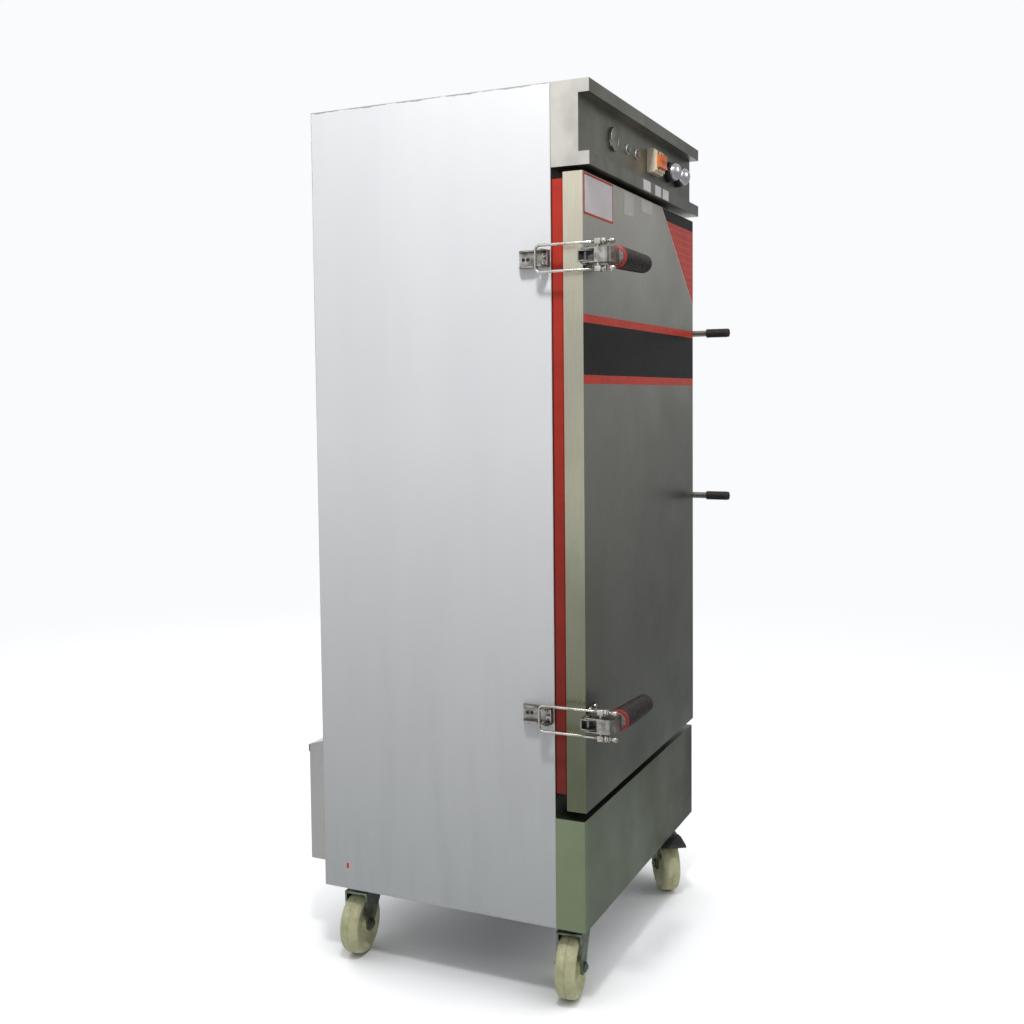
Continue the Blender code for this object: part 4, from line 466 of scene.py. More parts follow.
black_plastic = Finish("black_plastic", (0.022, 0.022, 0.021), 0.46)
moulded = (0.02, 0.02, 0.019), (0.04, 0.039, 0.036)
black_plastic.mottled((480.0, 2.0), (0.4, 0.7), *moulded, (0.4, 0.58), (0.00015, 0.4))
wear(black_plastic, "cable_gland", "brake_pedal_")

wool = Finish("mineral_wool", (0.62, 0.52, 0.24), 0.95)
fibres = wool.noise(240.0, 6.0)
wool.tones(wool.noise(30.0, 3.0), 0.3, 0.7, (0.66, 0.56, 0.28), (0.46, 0.37, 0.16))
wool.dull(fibres, 0.86, 0.98)
wool.bump(fibres, 0.002, 0.6)
wear(wool, "insulation", "door_insulation")
print("finishes so far:", len(bpy.data.materials))

# %% Control finishes
cream = Finish("breaker_cream", (0.78, 0.7, 0.53), 0.4)
cream.mottled((38.0, 4.0), (0.4, 0.72), (0.8, 0.72, 0.56), (0.64, 0.54, 0.37), (0.32, 0.5))
cream.bump(cream.noise(520.0), 0.0001, 0.3)
wear(cream, "breaker_body")

orange = Finish("rocker_orange", (0.74, 0.17, 0.035), 0.3)
sunned = (0.78, 0.19, 0.04), (0.6, 0.12, 0.03)
orange.mottled((90.0, 3.0), (0.45, 0.75), *sunned, (0.22, 0.42), (0.0001, 0.3))
wear(orange, "breaker_rocker")

knob_silver = Finish("knob_silver", (0.84, 0.85, 0.87), 0.32, 1.0)
knob_silver.mottled((70.0, 3.0), (0.45, 0.7), (0.9, 0.91, 0.93), (0.55, 0.55, 0.55), (0.24, 0.44))
knob_silver.bump(knob_silver.noise(650.0), 0.00006, 0.3)

skirt_black = Finish("knob_skirt_black", (0.03, 0.031, 0.032), 0.36)
dusty = (0.028, 0.029, 0.03), (0.075, 0.074, 0.07)
skirt_black.mottled((140.0, 3.0), (0.5, 0.8), *dusty, (0.3, 0.48), (0.0001, 0.3))

cap_zinc = Finish("cap_zinc", (0.34, 0.34, 0.31), 0.34, 1.0)
patchy = (0.4, 0.4, 0.36), (0.24, 0.24, 0.2)
cap_zinc.mottled((110.0, 4.0), (0.42, 0.72), *patchy, (0.24, 0.46), (0.0002, 0.4))
wear(cap_zinc, "blanking_cap")


def lens(name, colour):
    """A pilot lamp's coloured lens, unlit."""
    glass = Finish(name, colour, 0.16, Coat_Weight=0.6, Coat_Roughness=0.08)
    glass.mottled((260.0, 2.0), (0.4, 0.7), colour, tinted(colour, 0.55), (0.1, 0.24), (0.0002, 0.3))
    return glass


lamp_green = lens("lamp_green_lens", (0.13, 0.19, 0.14))
lamp_red = lens("lamp_red_lens", (0.24, 0.12, 0.1))
print("finishes so far:", len(bpy.data.materials))

# %% [markdown]
# ## Soft edges on folded sheet
#
# Sheet that is folded in a press has a small radius along each bend, and that radius is what catches the
# light. The model's sheets have knife edges. A Bevel modifier with an angle limit rounds only the real
# corners, and as it is a modifier the mesh that carries the true sizes stays untouched.

# %% Bend radii
for width, starts in (
    (0.0012, ("plinth_box", "supply_tank_lid")),
    (0.0008, ("latch_base_", "keeper_")),
    (0.0014, ("fork_", "brake_pedal_")),
    (0.0015, ("breaker_",)),
):
    for name in starting(*starts):
        bend = nodes[name].modifiers.new("bend_radius", "BEVEL")
        bend.width = width
        bend.segments = 2
        bend.limit_method = "ANGLE"
        bend.angle_limit = math.radians(40.0)
        bend.harden_normals = True
print("rounded pieces:", sum(bool(node.modifiers) for node in nodes.values()))

# %% [markdown]
# ## Turned and moulded pieces
#
# Grips, knobs, wheels and caps are round. A lathe shape is drawn as a half outline and spun, which is how
# the real ones are made or moulded. The Screw modifier could spin a curve. Here the rings are made straight
# into a mesh, because a ring can then be changed on its way round, for flutes or ribs.

# %% Shapes in a mesh
def bridge(maker, rings, steps):
    """Joins a row of rings into a closed skin. A ring of one point makes a tip."""
    for first, second in zip(rings, rings[1:]):
        for step in range(steps):
            after = (step + 1) % steps
            near = [first[step % len(first)], first[after % len(first)]]
            far = [second[after % len(second)], second[step % len(second)]]
            spots = list(dict.fromkeys(near + far))
            if len(spots) > 2:
                maker.faces.new(spots)
    for ring in (rings[0], rings[-1]):
        if len(ring) > 2:
            maker.faces.new(ring)


def spun(maker, outline, steps, centre, axis, swell=None, sink=None, turned_by=0.0):
    """Adds a shape spun from (radius, place) pairs.

    On the way round, swell alters a radius and sink alters a place."""
    turn = Vector((0.0, 0.0, 1.0)).rotation_difference(Vector(axis).normalized()).to_matrix()
    middle = Vector(centre)
    rings = []
    for radius, place in outline:
        ring = []
        for step in range(steps if radius > 0.0 else 1):
            angle = turned_by + 2 * math.pi * step / steps
            wide = swell(angle, radius, place) if swell else radius
            lower = sink(angle, radius) if sink else 0.0
            spot = Vector((wide * math.cos(angle), wide * math.sin(angle), place - lower))
            ring.append(maker.verts.new(middle + turn @ spot))
        rings.append(ring)
    bridge(maker, rings, steps)


def tube(maker, points, radii, sides):
    """Adds a closed rod along a path, with a radius at each point."""
    path = [Vector(point) for point in points]
    last = len(path) - 1
    side = None
    rings = []
    for index, (point, radius) in enumerate(zip(path, radii)):
        along = (path[min(index + 1, last)] - path[max(index - 1, 0)]).normalized()
        if side is None:
            side = along.orthogonal().normalized()
        side = (side - along * side.dot(along)).normalized()
        other = along.cross(side)
        ring = []
        for step in range(sides):
            angle = 2 * math.pi * step / sides
            outward = side * math.cos(angle) + other * math.sin(angle)
            ring.append(maker.verts.new(point + outward * radius))
        rings.append(ring)
    bridge(maker, rings, sides)


def soft_block(maker, low, high, radius, segments=2):
    """Adds a block with rounded edges."""
    made = bmesh.ops.create_cube(maker, size=1.0)["verts"]
    low, high = Vector(low), Vector(high)
    for vertex in made:
        vertex.co = Vector((low[i] + (high[i] - low[i]) * (vertex.co[i] + 0.5) for i in range(3)))
    edges = list({edge for vertex in made for edge in vertex.link_edges})
    bmesh.ops.bevel(maker, geom=edges, offset=radius, segments=segments, profile=0.5, affect="EDGES")


def hex_nut(maker, radius, bore, low, high, centre, axis, turned_by=0.0):
    """Adds a six-sided nut whose corners are chamfered at both ends."""
    chamfer = radius * 0.14
    outline = [
        (bore, low), (radius * 0.86, low), (radius, low + chamfer),
        (radius, high - chamfer), (radius * 0.86, high), (bore, high),
    ]
    spun(maker, outline, 6, centre, axis, turned_by=turned_by)


def pan_screw(maker, radius, height, centre, axis):
    """Adds a screw head with a cross recess in its dome."""
    domed = [(share, 1 - 0.24 * share * share) for share in (0.1, 0.16, 0.28, 0.42, 0.5, 0.54)]
    shares = [(0.0, 1.0), *domed, (0.74, 0.86), (0.92, 0.74), (1.0, 0.58), (1.0, 0.0)]
    outline = [(radius * wide, height * tall) for wide, tall in shares]

    def cross(angle, wide):
        across_arm = min(abs(wide * math.cos(angle)), abs(wide * math.sin(angle)))
        return height * 0.42 if wide < radius * 0.52 and across_arm < radius * 0.115 else 0.0

    spun(maker, outline, 48, centre, axis, sink=cross, turned_by=math.pi / 48)


def shown(name, maker, finish, body, centre=(0.0, 0.0, 0.0), replaced=None, sharp=35.0):
    """Turns a mesh in the making into a smooth-shaded piece that rides on a body."""
    bmesh.ops.recalc_face_normals(maker, faces=maker.faces)
    mesh = bpy.data.meshes.new(name)
    maker.to_mesh(mesh)
    maker.free()
    mesh.materials.append(finish.material)
    mesh.shade_smooth()
    mesh.set_sharp_from_angle(angle=math.radians(sharp))
    thing = bpy.data.objects.new(name, mesh)
    bpy.context.scene.collection.objects.link(thing)
    thing.location = centre
    bpy.context.view_layer.update()
    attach(thing, body)
    if replaced:
        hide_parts(replaced)


def lathe(name, outline, steps, finish, body, centre, axis, replaced=None, slot=None, swell=None, sharp=35.0):
    """One spun shape as a piece of its own, with its origin at the centre."""
    maker = bmesh.new()
    spun(maker, outline, steps, (0, 0, 0), axis, swell)
    shown(name, maker, finish, body, centre, replaced, sharp)


def mm(*pairs):
    """An outline's pairs of radius and place, given in millimetres."""
    return [(wide / 1000, place / 1000) for wide, place in pairs]


def quarter(steps):
    """The angles between the ends of a quarter turn that is cut into steps."""
    return [math.pi / 2 * step / steps for step in range(1, steps)]


def box_of(name):
    """The low and the high corner of a piece of the model, and its middle."""
    low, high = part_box(name)
    return low, high, (low + high) / 2


joints = {joint["name"]: joint for joint in frame["joints"]}
to_front, to_back, to_left, to_right, down = (0, -1, 0), (0, 1, 0), (-1, 0, 0), (1, 0, 0), (0, 0, -1)

# %% [markdown]
# ## Castor wheels
#
# The wheels are moulded nylon, cream with an olive tinge. Their tread is crowned like a barrel, with a
# faint groove where the two halves of the mould met, and each face is dished round a raised hub. The
# outline below goes from the hub over the face, round the shoulder and across the tread.

# %% Wheels
corners = ("front_left", "back_left", "front_right", "back_right")


def wheel_outline(radius, half, hub_radius, hub_half, bore):
    """A wheel's half section, from the bore round the tread and back to the bore."""
    half_tread = [
        (bore, -hub_half), (hub_radius * 0.92, -hub_half), (hub_radius, -hub_half + 0.0012),
        (hub_radius * 1.03, -half * 0.62), (hub_radius * 1.25, -half * 0.56), (radius * 0.62, -half * 0.6),
        (radius * 0.7, -half * 0.74), (radius * 0.755, -half * 0.94), (radius * 0.79, -half * 0.995),
        (radius * 0.84, -half),
    ]
    for angle in quarter(12):
        crown = 0.84 + 0.16 * math.sin(angle) ** 0.9
        half_tread.append((radius * crown, -half * math.cos(angle) ** 0.72))
    half_tread.append((radius, -half * 0.045))
    groove = [(radius * 0.985, -half * 0.02)]
    return half_tread + groove + [(wide, -place) for wide, place in reversed(half_tread + groove)]


for corner in corners:
    low, high, middle = box_of("wheel_" + corner)
    radius = (high.z - low.z) / 2
    axle = joints["wheel_spin_" + corner]["axis"]
    outline = wheel_outline(radius * 0.998, half=0.0194, hub_radius=0.017, hub_half=0.02, bore=0.0064)
    body = "wheel_%s_body" % corner
    lathe("nylon_" + corner, outline, 72, nylon, body, middle, axle, "wheel_" + corner, "wheel_nylon")
print("wheel radius in mm:", round(radius * 1000, 1))

# %% [markdown]
# ## Latch grips
#
# Each lever ends in a black rubber sleeve with grooves for the fingers, and a red ring at its root, in a
# pressed cup. They are separate mouldings, so they are separate pieces here. Each rib between the grooves
# carries a thin, lighter brownish band on its crest.

# %% Grips and collars
levels = ("lower", "upper")


def grip_axis(name):
    """The root, the direction and the length of a grip, from the two ends of its mesh."""
    points = [vertex.co for vertex in nodes[name].data.vertices]
    low, high = (limit(point.x for point in points) for limit in (min, max))
    length = high - low
    root = [point for point in points if point.x < low + length * 0.1]
    tip = [point for point in points if point.x > high - length * 0.06]
    ends = [
        Vector([(min(point[i] for point in group) + max(point[i] for point in group)) / 2 for i in range(3)])
        for group in (root, tip)
    ]
    along = (ends[1] - ends[0]).normalized()
    return ends[0] - along * ((ends[0].x - low) / along.x), along, length


grip_bore, cup_length, collar_length = 0.0066, 0.0034, 0.01
sleeve_start = collar_length + 0.0002
cup = [
    (grip_bore, 0.0), (0.012, 0.0), (0.0136, 0.0008), (0.0144, 0.0022), (0.0145, cup_length),
    (grip_bore, cup_length),
]
collar = [
    (grip_bore, cup_length + 0.0001), (0.016, cup_length + 0.0001), (0.019, 0.005), (0.02, 0.007),
    (0.0197, 0.009), (0.0186, collar_length), (grip_bore, collar_length),
]
for level in levels:
    start, along, length = grip_axis("latch_grip_" + level)
    body = "lever_" + level
    lathe("grip_cup_" + level, cup, 48, cup_grey, body, start, along, slot="fittings_steel")
    lathe("grip_collar_" + level, collar, 48, collar_red, body, start, along, slot="grip_rubber")
    sleeve = [(grip_bore, sleeve_start), (0.0186, sleeve_start), (0.0196, collar_length + 0.002)]
    first, last, ribs = collar_length + 0.006, length - 0.02, 10
    for rib in range(ribs):
        share = rib / (ribs - 1)
        place = first + (last - first) * share
        wide = 0.02 - 0.0026 * share ** 1.3
        sleeve += [(wide - 0.0002, place - 0.0024), (wide - 0.0018, place - 0.0012), (wide - 0.0018, place)]
        sleeve += [(wide - 0.0004, place + 0.0008), (wide, place + 0.0022)]
        bulge = mm((-1.2, 1.0), (0.2, 1.4), (0.3, 2.0), (0.2, 2.6), (-1.2, 3.0))
        crest_band = [(wide + more, place + further) for more, further in bulge]
        name = "grip_rub_%s_%d" % (level, rib + 1)
        lathe(name, crest_band, 48, worn_rubber, body, start, along, slot="grip_rubber")
    end_radius, end_hollow, end_length = 0.0174, 0.01, 0.0095
    for angle in (*quarter(7), math.pi / 2):
        wide = end_radius - end_hollow * (1 - math.cos(angle))
        sleeve.append((wide, length - end_length + end_length * math.sin(angle)))
    sleeve.append((0.0, length))
    replaced = "latch_grip_" + level
    lathe("grip_sleeve_" + level, sleeve, 48, rubber, body, start, along, replaced, "grip_rubber", sharp=60.0)
print("grip length in mm:", round(length * 1000, 1))

# %% [markdown]
# ## Pull handles at the hinge side
#
# Two short studs with rubber sleeves stand at the door's right edge. The sleeves have a plain end and fine
# rings.

# %% Pull sleeves
for level in levels:
    low, high, middle = box_of("pull_grip_" + level)
    radius = (high.z - low.z) / 2
    length = high.y - low.y
    sleeve = [(0.0, 0.0), (radius * 0.55, 0.0002), (radius * 0.86, 0.0012), (radius * 0.97, 0.0034)]
    for rib in range(9):
        place = 0.006 + (length - 0.011) * rib / 8
        sleeve += [(radius * 0.925, place - 0.0006), (radius, place + 0.001), (radius, place + 0.0034)]
    sleeve += [(radius * 0.96, length - 0.0008), (radius * 0.7, length), (0.0058, length)]
    tip = (middle.x, low.y, middle.z)
    replaced = "pull_grip_" + level
    name = "pull_sleeve_" + level
    lathe(name, sleeve, 40, rubber, "door", tip, to_back, replaced, "grip_rubber", sharp=60.0)
print("pull sleeve length in mm:", round(length * 1000, 1))

# %% [markdown]
# ## Controls
#
# The knobs are pressed metal domes on black skirts. The pilot lamps are plated rings round dull lenses, and
# a blanking cap closes a hole that another model would use. The breaker keeps the model's case, and gets
# the two screws that hold it and ribs on its rocker.

# %% Knobs
knob_length, skirt_length, knob_bore = 0.03, 0.009, 0.003
skirt_ribs = 40
panel_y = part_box("timer_knob")[0].y + knob_length


def ribbed(angle, wide, place):
    """Cuts grip ribs into the middle of a skirt."""
    return wide * (1 - 0.018 * max(0.0, math.cos(angle * skirt_ribs))) if 0.001 < place < 0.008 else wide


for name, body in (("timer_knob", "knob_timer"), ("heat_knob", "knob_heat")):
    low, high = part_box(name)
    radius = (high.x - low.x) / 2
    centre = (low.x + radius, panel_y, low.z + radius)
    skirt = [
        (knob_bore, 0.0006), (radius * 0.97, 0.0006), (radius, 0.0014), (radius, 0.0074),
        (radius * 0.985, 0.0084), (radius * 0.955, skirt_length), (knob_bore, skirt_length),
    ]
    where = (body, centre, to_front)
    lathe(name + "_skirt", skirt, 160, skirt_black, *where, slot="pedal_plastic", swell=ribbed)
    dome_wide, dome_start = radius * 0.92, skirt_length + 0.0001
    dome_tall = knob_length - dome_start - 0.0016
    dome = [
        (knob_bore, dome_start), (dome_wide * 0.95, dome_start), (dome_wide * 0.98, dome_start + 0.0005),
        (dome_wide * 0.995, dome_start + 0.0014),
    ]
    for angle in quarter(16):
        place = dome_start + 0.0016 + dome_tall * math.sin(angle) ** 1.1
        dome.append((dome_wide * math.cos(angle) ** 0.8, place))
    dome.append((0.0, knob_length))
    lathe(name + "_dome", dome, 72, knob_silver, *where, name, "knob_metal")
    mark = bmesh.new()
    soft_block(mark, (-0.0009, -0.0094, dome_wide + 0.0002), (0.0009, -0.007, radius + 0.0002), 0.0003)
    shown(name + "_mark", mark, cream, body, centre)
print("knob radius in mm:", round(radius * 1000, 1))

# %% Pilot lamps and cap
ring = mm(
    (3, 0.3), (10.3, 0.3), (10.5, 0.8), (10.4, 1.8), (9.8, 2.7), (8.8, 3.3), (8, 3.4), (7.6, 3.1), (3, 3.1),
)
bulb = mm((3, 3.2), (7.4, 3.2), (7.4, 4.2), (7.1, 5.2), (6.2, 6), (4.6, 6.5), (2.4, 6.7), (0, 6.8))
cap = mm(
    (3, 0.3), (23, 0.3), (23, 3.8), (22.6, 5), (21.6, 5.7), (20.2, 5.6), (19, 4.8), (17.6, 4.3), (12, 4.1),
    (6, 4), (0, 4),
)
for side, finish, lens_slot in (("left", lamp_green, "lamp_green"), ("right", lamp_red, "lamp_red")):
    name = "pilot_lamp_" + side
    middle = box_of(name)[2]
    centre = (middle.x, panel_y, middle.z)
    lathe("lamp_ring_" + side, ring, 48, knob_silver, "cabinet", centre, to_front, slot="knob_metal")
    lathe("lamp_lens_" + side, bulb, 40, finish, "cabinet", centre, to_front, name, lens_slot)
middle = box_of("blanking_cap")[2]
centre = (middle.x, panel_y, middle.z)
lathe("hole_cap", cap, 64, cap_zinc, "cabinet", centre, to_front, "blanking_cap", "cap_metal")
print("cap radius in mm:", max(wide for wide, _ in cap) * 1000)

# %% Breaker screws and rocker ribs
low, high, middle = box_of("breaker_body")
screws = bmesh.new()
screw_x, screw_z, breaker_head = 0.017, 0.0169, (0.0021, 0.0012)
for side in (-1, 1):
    pan_screw(screws, *breaker_head, (middle.x - screw_x, low.y, middle.z + side * screw_z), to_front)
shown("breaker_screws", screws, skirt_black, "cabinet")
low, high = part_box("breaker_rocker")
ribs = bmesh.new()
rib_pitch, rib_half = 0.0034, 0.0006
for step in range(-2, 3):
    rib_z = middle.z + step * rib_pitch
    rib_low = (low.x + 0.004, low.y + 0.0003 + 0.0006 * abs(step), rib_z - rib_half)
    soft_block(ribs, rib_low, (high.x - 0.004, low.y + 0.003, rib_z + rib_half), 0.0003)
shown("rocker_ribs", ribs, orange, "rocker")
print("rocker width in mm:", round((high.x - low.x) * 1000, 1))

# %% [markdown]
# ## Draw bars
#
# Each latch pulls on a loop of bright rod. Its two legs pass through blocks on the cross pin, and nuts on
# their threads set how hard the door is pulled in. A real thread is a helix. At this size rings look the
# same and are far lighter, so the rod's radius just rises and falls along its length.

# %% Draw bars
def thread(start, stop, root, crest, pitch):
    """Places and radii along a ringed thread."""
    count = round(abs(stop - start) / pitch)
    step = (stop - start) / count
    pairs = []
    for turn in range(count):
        begin = start + (stop - start) * turn / count
        shares = ((0.0, root), (0.4, crest), (0.6, crest), (0.98, root))
        pairs += [(begin + step * share, radius) for share, radius in shares]
    return pairs


half, rod, bend = 0.0235, 0.0026, 0.008
cross_pin = mm((0, -29), (2.8, -29), (3.5, -28.3), (3.5, 28.3), (2.8, 29), (0, 29))
washer = mm((2.4, 6.1), (6, 6.1), (6.2, 6.3), (6.2, 6.7), (6, 6.9), (2.4, 6.9))
acorn = mm((2, 25.5), (4.6, 26.2), (4.5, 27.8), (4, 29.3), (3, 30.4), (1.6, 31), (0, 31.1))
leg_nuts = ((0.0064, 0.007, 0.0122, 0.0), (0.0064, 0.0124, 0.0155, 0.3), (0.0056, 0.0221, 0.0262, 0.2))
for level in levels:
    low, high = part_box("latch_bar_" + level)
    pin_x, pin_y, pin_z = pin = joints["latch_bar_" + level]["pos_m"]
    end, back = low.y + 0.0015, high.y - rod
    leg = thread(end, pin_y + 0.013, root=rod - 0.0003, crest=rod + 0.00015, pitch=0.0011)
    leg.append((pin_y + 0.0136, rod))
    points = [(pin_x, y, pin_z + half) for y, _ in leg]
    radii = [wide for _, wide in leg]
    for sign, begin in ((1, 90), (-1, 0)):
        for step in range(9):
            angle = math.radians(begin - 90 * step / 8)
            turn_z = pin_z + sign * (half - bend) + bend * math.sin(angle)
            points.append((pin_x, back - bend + bend * math.cos(angle), turn_z))
            radii.append(rod)
    points += [(pin_x, y, pin_z - half) for y, _ in reversed(leg)]
    radii += [wide for _, wide in reversed(leg)]
    bar = bmesh.new()
    tube(bar, points, radii, 20)
    body = "bar_" + level
    shown("draw_bar_" + level, bar, plated, body, replaced="latch_bar_" + level)
    fittings = bmesh.new()
    spun(fittings, cross_pin, 24, pin, (0, 0, 1))
    for sign in (-1, 1):
        spot = Vector((pin_x, pin_y, pin_z + sign * half))
        block_half = Vector((0.006, 0.006, 0.0054))
        soft_block(fittings, spot - block_half, spot + block_half, 0.0013, 3)
        spun(fittings, washer, 32, spot, to_front)
        for radius, near, far_end, turned_by in leg_nuts:
            hex_nut(fittings, radius, 0.0024, near, far_end, spot, to_front, turned_by)
        spun(fittings, acorn, 24, spot, to_front)
    shown("bar_fittings_" + level, fittings, plated, body, sharp=28.0)
print("draw bar length in mm:", round((high.y - low.y) * 1000, 1))

# %% [markdown]
# ## Screws, bolts and rivets
#
# Fittings are held by small screws with a cross recess. The model has plain stubs there, which set their
# places. Each finer head covers its stub. All heads that ride on one body are one mesh, which keeps the
# scene short.

# %% Screws on keepers, latches and hinges
body_screws, door_screws, hole_shade_discs = bmesh.new(), bmesh.new(), bmesh.new()
# Each head's radius and height, then the plates' thicknesses, then where screws and holes stand on a plate
keeper_head, base_head, leaf_head = (0.0051, 0.004), (0.0047, 0.0034), (0.0047, 0.0032)
door_skin, keeper_plate, base_plate, leaf_plate = 0.0015, 0.0028, 0.0025, 0.0027
keeper_screw_y, keeper_screw_z, keeper_hole_y, hole_pitch = 0.00875, 0.00675, 0.008, 0.0086
base_x, base_screw_x, base_screw_z, leaf_screw_y = 0.028, 0.0123, 0.0147, 0.0225
door_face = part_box("door_insulation")[0].y - door_skin
door_middle = (door_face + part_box("door_gasket")[0].y) / 2
leaf_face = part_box("side_panel_right")[1].x + leaf_plate
hole_shade_outline = mm((0, 1.1), (2.6, 1), (3.1, 0.4), (0, 0.4))
for level in levels:
    low, high, middle = box_of("keeper_" + level)
    for sign in (-1, 1):
        place = (panel_low.x - keeper_plate, low.y + keeper_screw_y, middle.z + sign * keeper_screw_z)
        pan_screw(body_screws, *keeper_head, place, to_left)
    # Black discs sit in the keeper's holes as painted shade, for their dark insides.
    for step in (0, 1):
        place = (panel_low.x, high.y - keeper_hole_y - hole_pitch * step, middle.z)
        spun(hole_shade_discs, hole_shade_outline, 20, place, to_left)
    pin_z = joints["latch_lever_" + level]["pos_m"][2]
    for side in (-1, 1):
        for sign in (-1, 1):
            place_x = panel_low.x + base_x + side * base_screw_x
            place = (place_x, door_face - base_plate, pin_z + sign * base_screw_z)
            pan_screw(door_screws, *base_head, place, to_front)
    low, high, middle = box_of("hinge_leaf_cabinet_" + level)
    for step in (-1, 0, 1):
        spot_z = middle.z + step * (high.z - low.z) / 3
        pan_screw(body_screws, *leaf_head, (leaf_face, high.y - leaf_screw_y, spot_z), to_right)
        pan_screw(door_screws, *leaf_head, (leaf_face, door_middle, spot_z), to_right)
print("faces in the screws:", len(body_screws.faces) + len(door_screws.faces))
shown("body_screws", body_screws, plated, "cabinet")
shown("door_screws", door_screws, plated, "door")
shown("keeper_hole_ends", hole_shade_discs, skirt_black, "cabinet")

# %% Castor bolts and axle nuts
plate_bolts = bmesh.new()
bolt_end = mm((0, 7), (2.2, 7), (2.8, 6.4), (2.8, 3), (0, 3))
axle_washer = mm((5, 24.3), (11.6, 24.3), (11.8, 24.7), (11.6, 25.7), (5, 25.7))
axle_stub = mm((0, 32.2), (3.6, 32.2), (4.6, 31.2), (4.6, 28), (0, 28))
# Each nut's radius, bore, and start and end along its axis
plate_nut, axle_nut = (0.0066, 0.002, 0.0, 0.0042), (0.0098, 0.005, 0.0257, 0.0299)
bolt_x, bolt_y, plate_thick = 0.0385, 0.0335, 0.0038
for corner in corners:
    swivel = Vector(joints["caster_swivel_" + corner]["pos_m"])
    for side in (-1, 1):
        for end in (-1, 1):
            place = (swivel.x + side * bolt_x, swivel.y + end * bolt_y, panel_low.z - plate_thick)
            hex_nut(plate_bolts, *plate_nut, place, down, 0.26 * side + 0.4 * end)
            spun(plate_bolts, bolt_end, 16, place, down)
    spin = joints["wheel_spin_" + corner]
    nuts = bmesh.new()
    for sign in (-1, 1):
        axle = Vector(spin["axis"]) * sign
        spun(nuts, axle_washer, 32, spin["pos_m"], axle)
        hex_nut(nuts, *axle_nut, spin["pos_m"], axle, 0.35)
        spun(nuts, axle_stub, 20, spin["pos_m"], axle)
    shown("axle_nuts_" + corner, nuts, zinc, "caster_" + corner, sharp=28.0)
print("faces in the plate bolts:", len(plate_bolts.faces))
shown("plate_bolts", plate_bolts, zinc, "cabinet", sharp=28.0)

# %% Rivets on the back
rivets = bmesh.new()
back_low, back_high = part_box("back_panel")
dome = mm((0, 1.1), (1.1, 1), (2, 0.6), (2.6, 0), (2.6, -0.4), (0, -0.4))
from_edge, from_end, rows, columns = 0.014, 0.03, 9, 6
spots = []
for row in range(rows):
    spot_z = back_low.z + from_end + (back_high.z - back_low.z - 2 * from_end) * row / (rows - 1)
    spots += [(back_low.x + from_edge, spot_z), (back_high.x - from_edge, spot_z)]
for column in range(1, columns):
    x = back_low.x + from_edge + (back_high.x - back_low.x - 2 * from_edge) * column / columns
    spots.append((x, back_high.z - from_edge))
for x, spot_z in spots:
    spun(rivets, dome, 20, (x, back_high.y, spot_z), to_back)
shown("back_rivets", rivets, aluminium, "cabinet", sharp=50.0)
print("rivets:", len(spots))

# %% [markdown]
# ## Printed films on the door
#
# A red and black band crosses the door, a red and black corner runs down from the top right, and a few pale
# plates show how to use the cabinet. They are self-adhesive film. Their print is left off, so each is a
# plain, thin sheet with its own gloss. They could be painted into the door's material with masks. Real
# sheets cast a tiny edge and stay sharp from any distance, so they are modelled.

# %% Sticker finishes
def vinyl(name, colour, roughness, fade, **others):
    """Printed film; its colour fades by a share in patches."""
    film = Finish(name, colour, roughness, **others)
    ripple = film.noise(26.0, 4.0)
    film.tones(ripple, 0.4, 0.74, colour, tinted(colour, fade))
    film.dull(film.noise(420.0, 3.0), roughness - 0.06, roughness + 0.12, 0.35, 0.75)
    film.bump(ripple, 0.0003, 0.25)
    return film


red_vinyl = vinyl("red_vinyl", (0.56, 0.05, 0.028), 0.3, 0.8, Specular_IOR_Level=0.12)
faded_red = vinyl("faded_red_vinyl", (0.62, 0.17, 0.13), 0.36, 0.8, Specular_IOR_Level=0.12)
black_vinyl = vinyl("black_vinyl", (0.01, 0.01, 0.011), 0.42, 1.5, Specular_IOR_Level=0.12)
grey_vinyl = vinyl("grey_vinyl", (0.56, 0.54, 0.51), 0.4, 0.86)
pale_vinyl = vinyl("pale_vinyl", (0.72, 0.62, 0.6), 0.4, 0.88)
white_label = vinyl("white_label_paper", (0.7, 0.66, 0.68), 0.55, 0.9)
pink_label = vinyl("pink_label_paper", (0.4, 0.06, 0.06), 0.55, 0.85)
pale_pink = vinyl("pale_pink_paper", (0.62, 0.5, 0.5), 0.55, 0.9)
print("finishes so far:", len(bpy.data.materials))

# %% Helpers for films
door_left, door_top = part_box("door_shell")[0].x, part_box("door_shell")[1].z
door_right = -door_left
under, film_thick = 0.0001, 0.00018


def flat_film(name, outline, face, thickness, finish, body, on_side=False):
    """A thin sheet on a plane: outline points are (x, z) for a front, and (y, z) for a side."""
    maker = bmesh.new()
    spots = [(face, flat, height) if on_side else (flat, face, height) for flat, height in outline]
    base = maker.faces.new([maker.verts.new(spot) for spot in spots])
    grown = bmesh.ops.extrude_face_region(maker, geom=[base])
    moved = [item for item in grown["geom"] if isinstance(item, bmesh.types.BMVert)]
    shift = (-thickness, 0.0, 0.0) if on_side else (0.0, -thickness, 0.0)
    bmesh.ops.translate(maker, vec=shift, verts=moved)
    shown(name, maker, finish, body)


def on_door(name, outline, finish, layer=0, thickness=film_thick):
    """A film on the door's front, over as many other films as its layer says."""
    flat_film(name, outline, door_face - under - layer * film_thick, thickness, finish, "door")


def across(place):
    """A distance from the cabinet's left side, in millimetres, as an x."""
    return door_left + place / 1000


def above(place):
    """A height above the cabinet's underside, in millimetres, as a z."""
    return panel_low.z + place / 1000


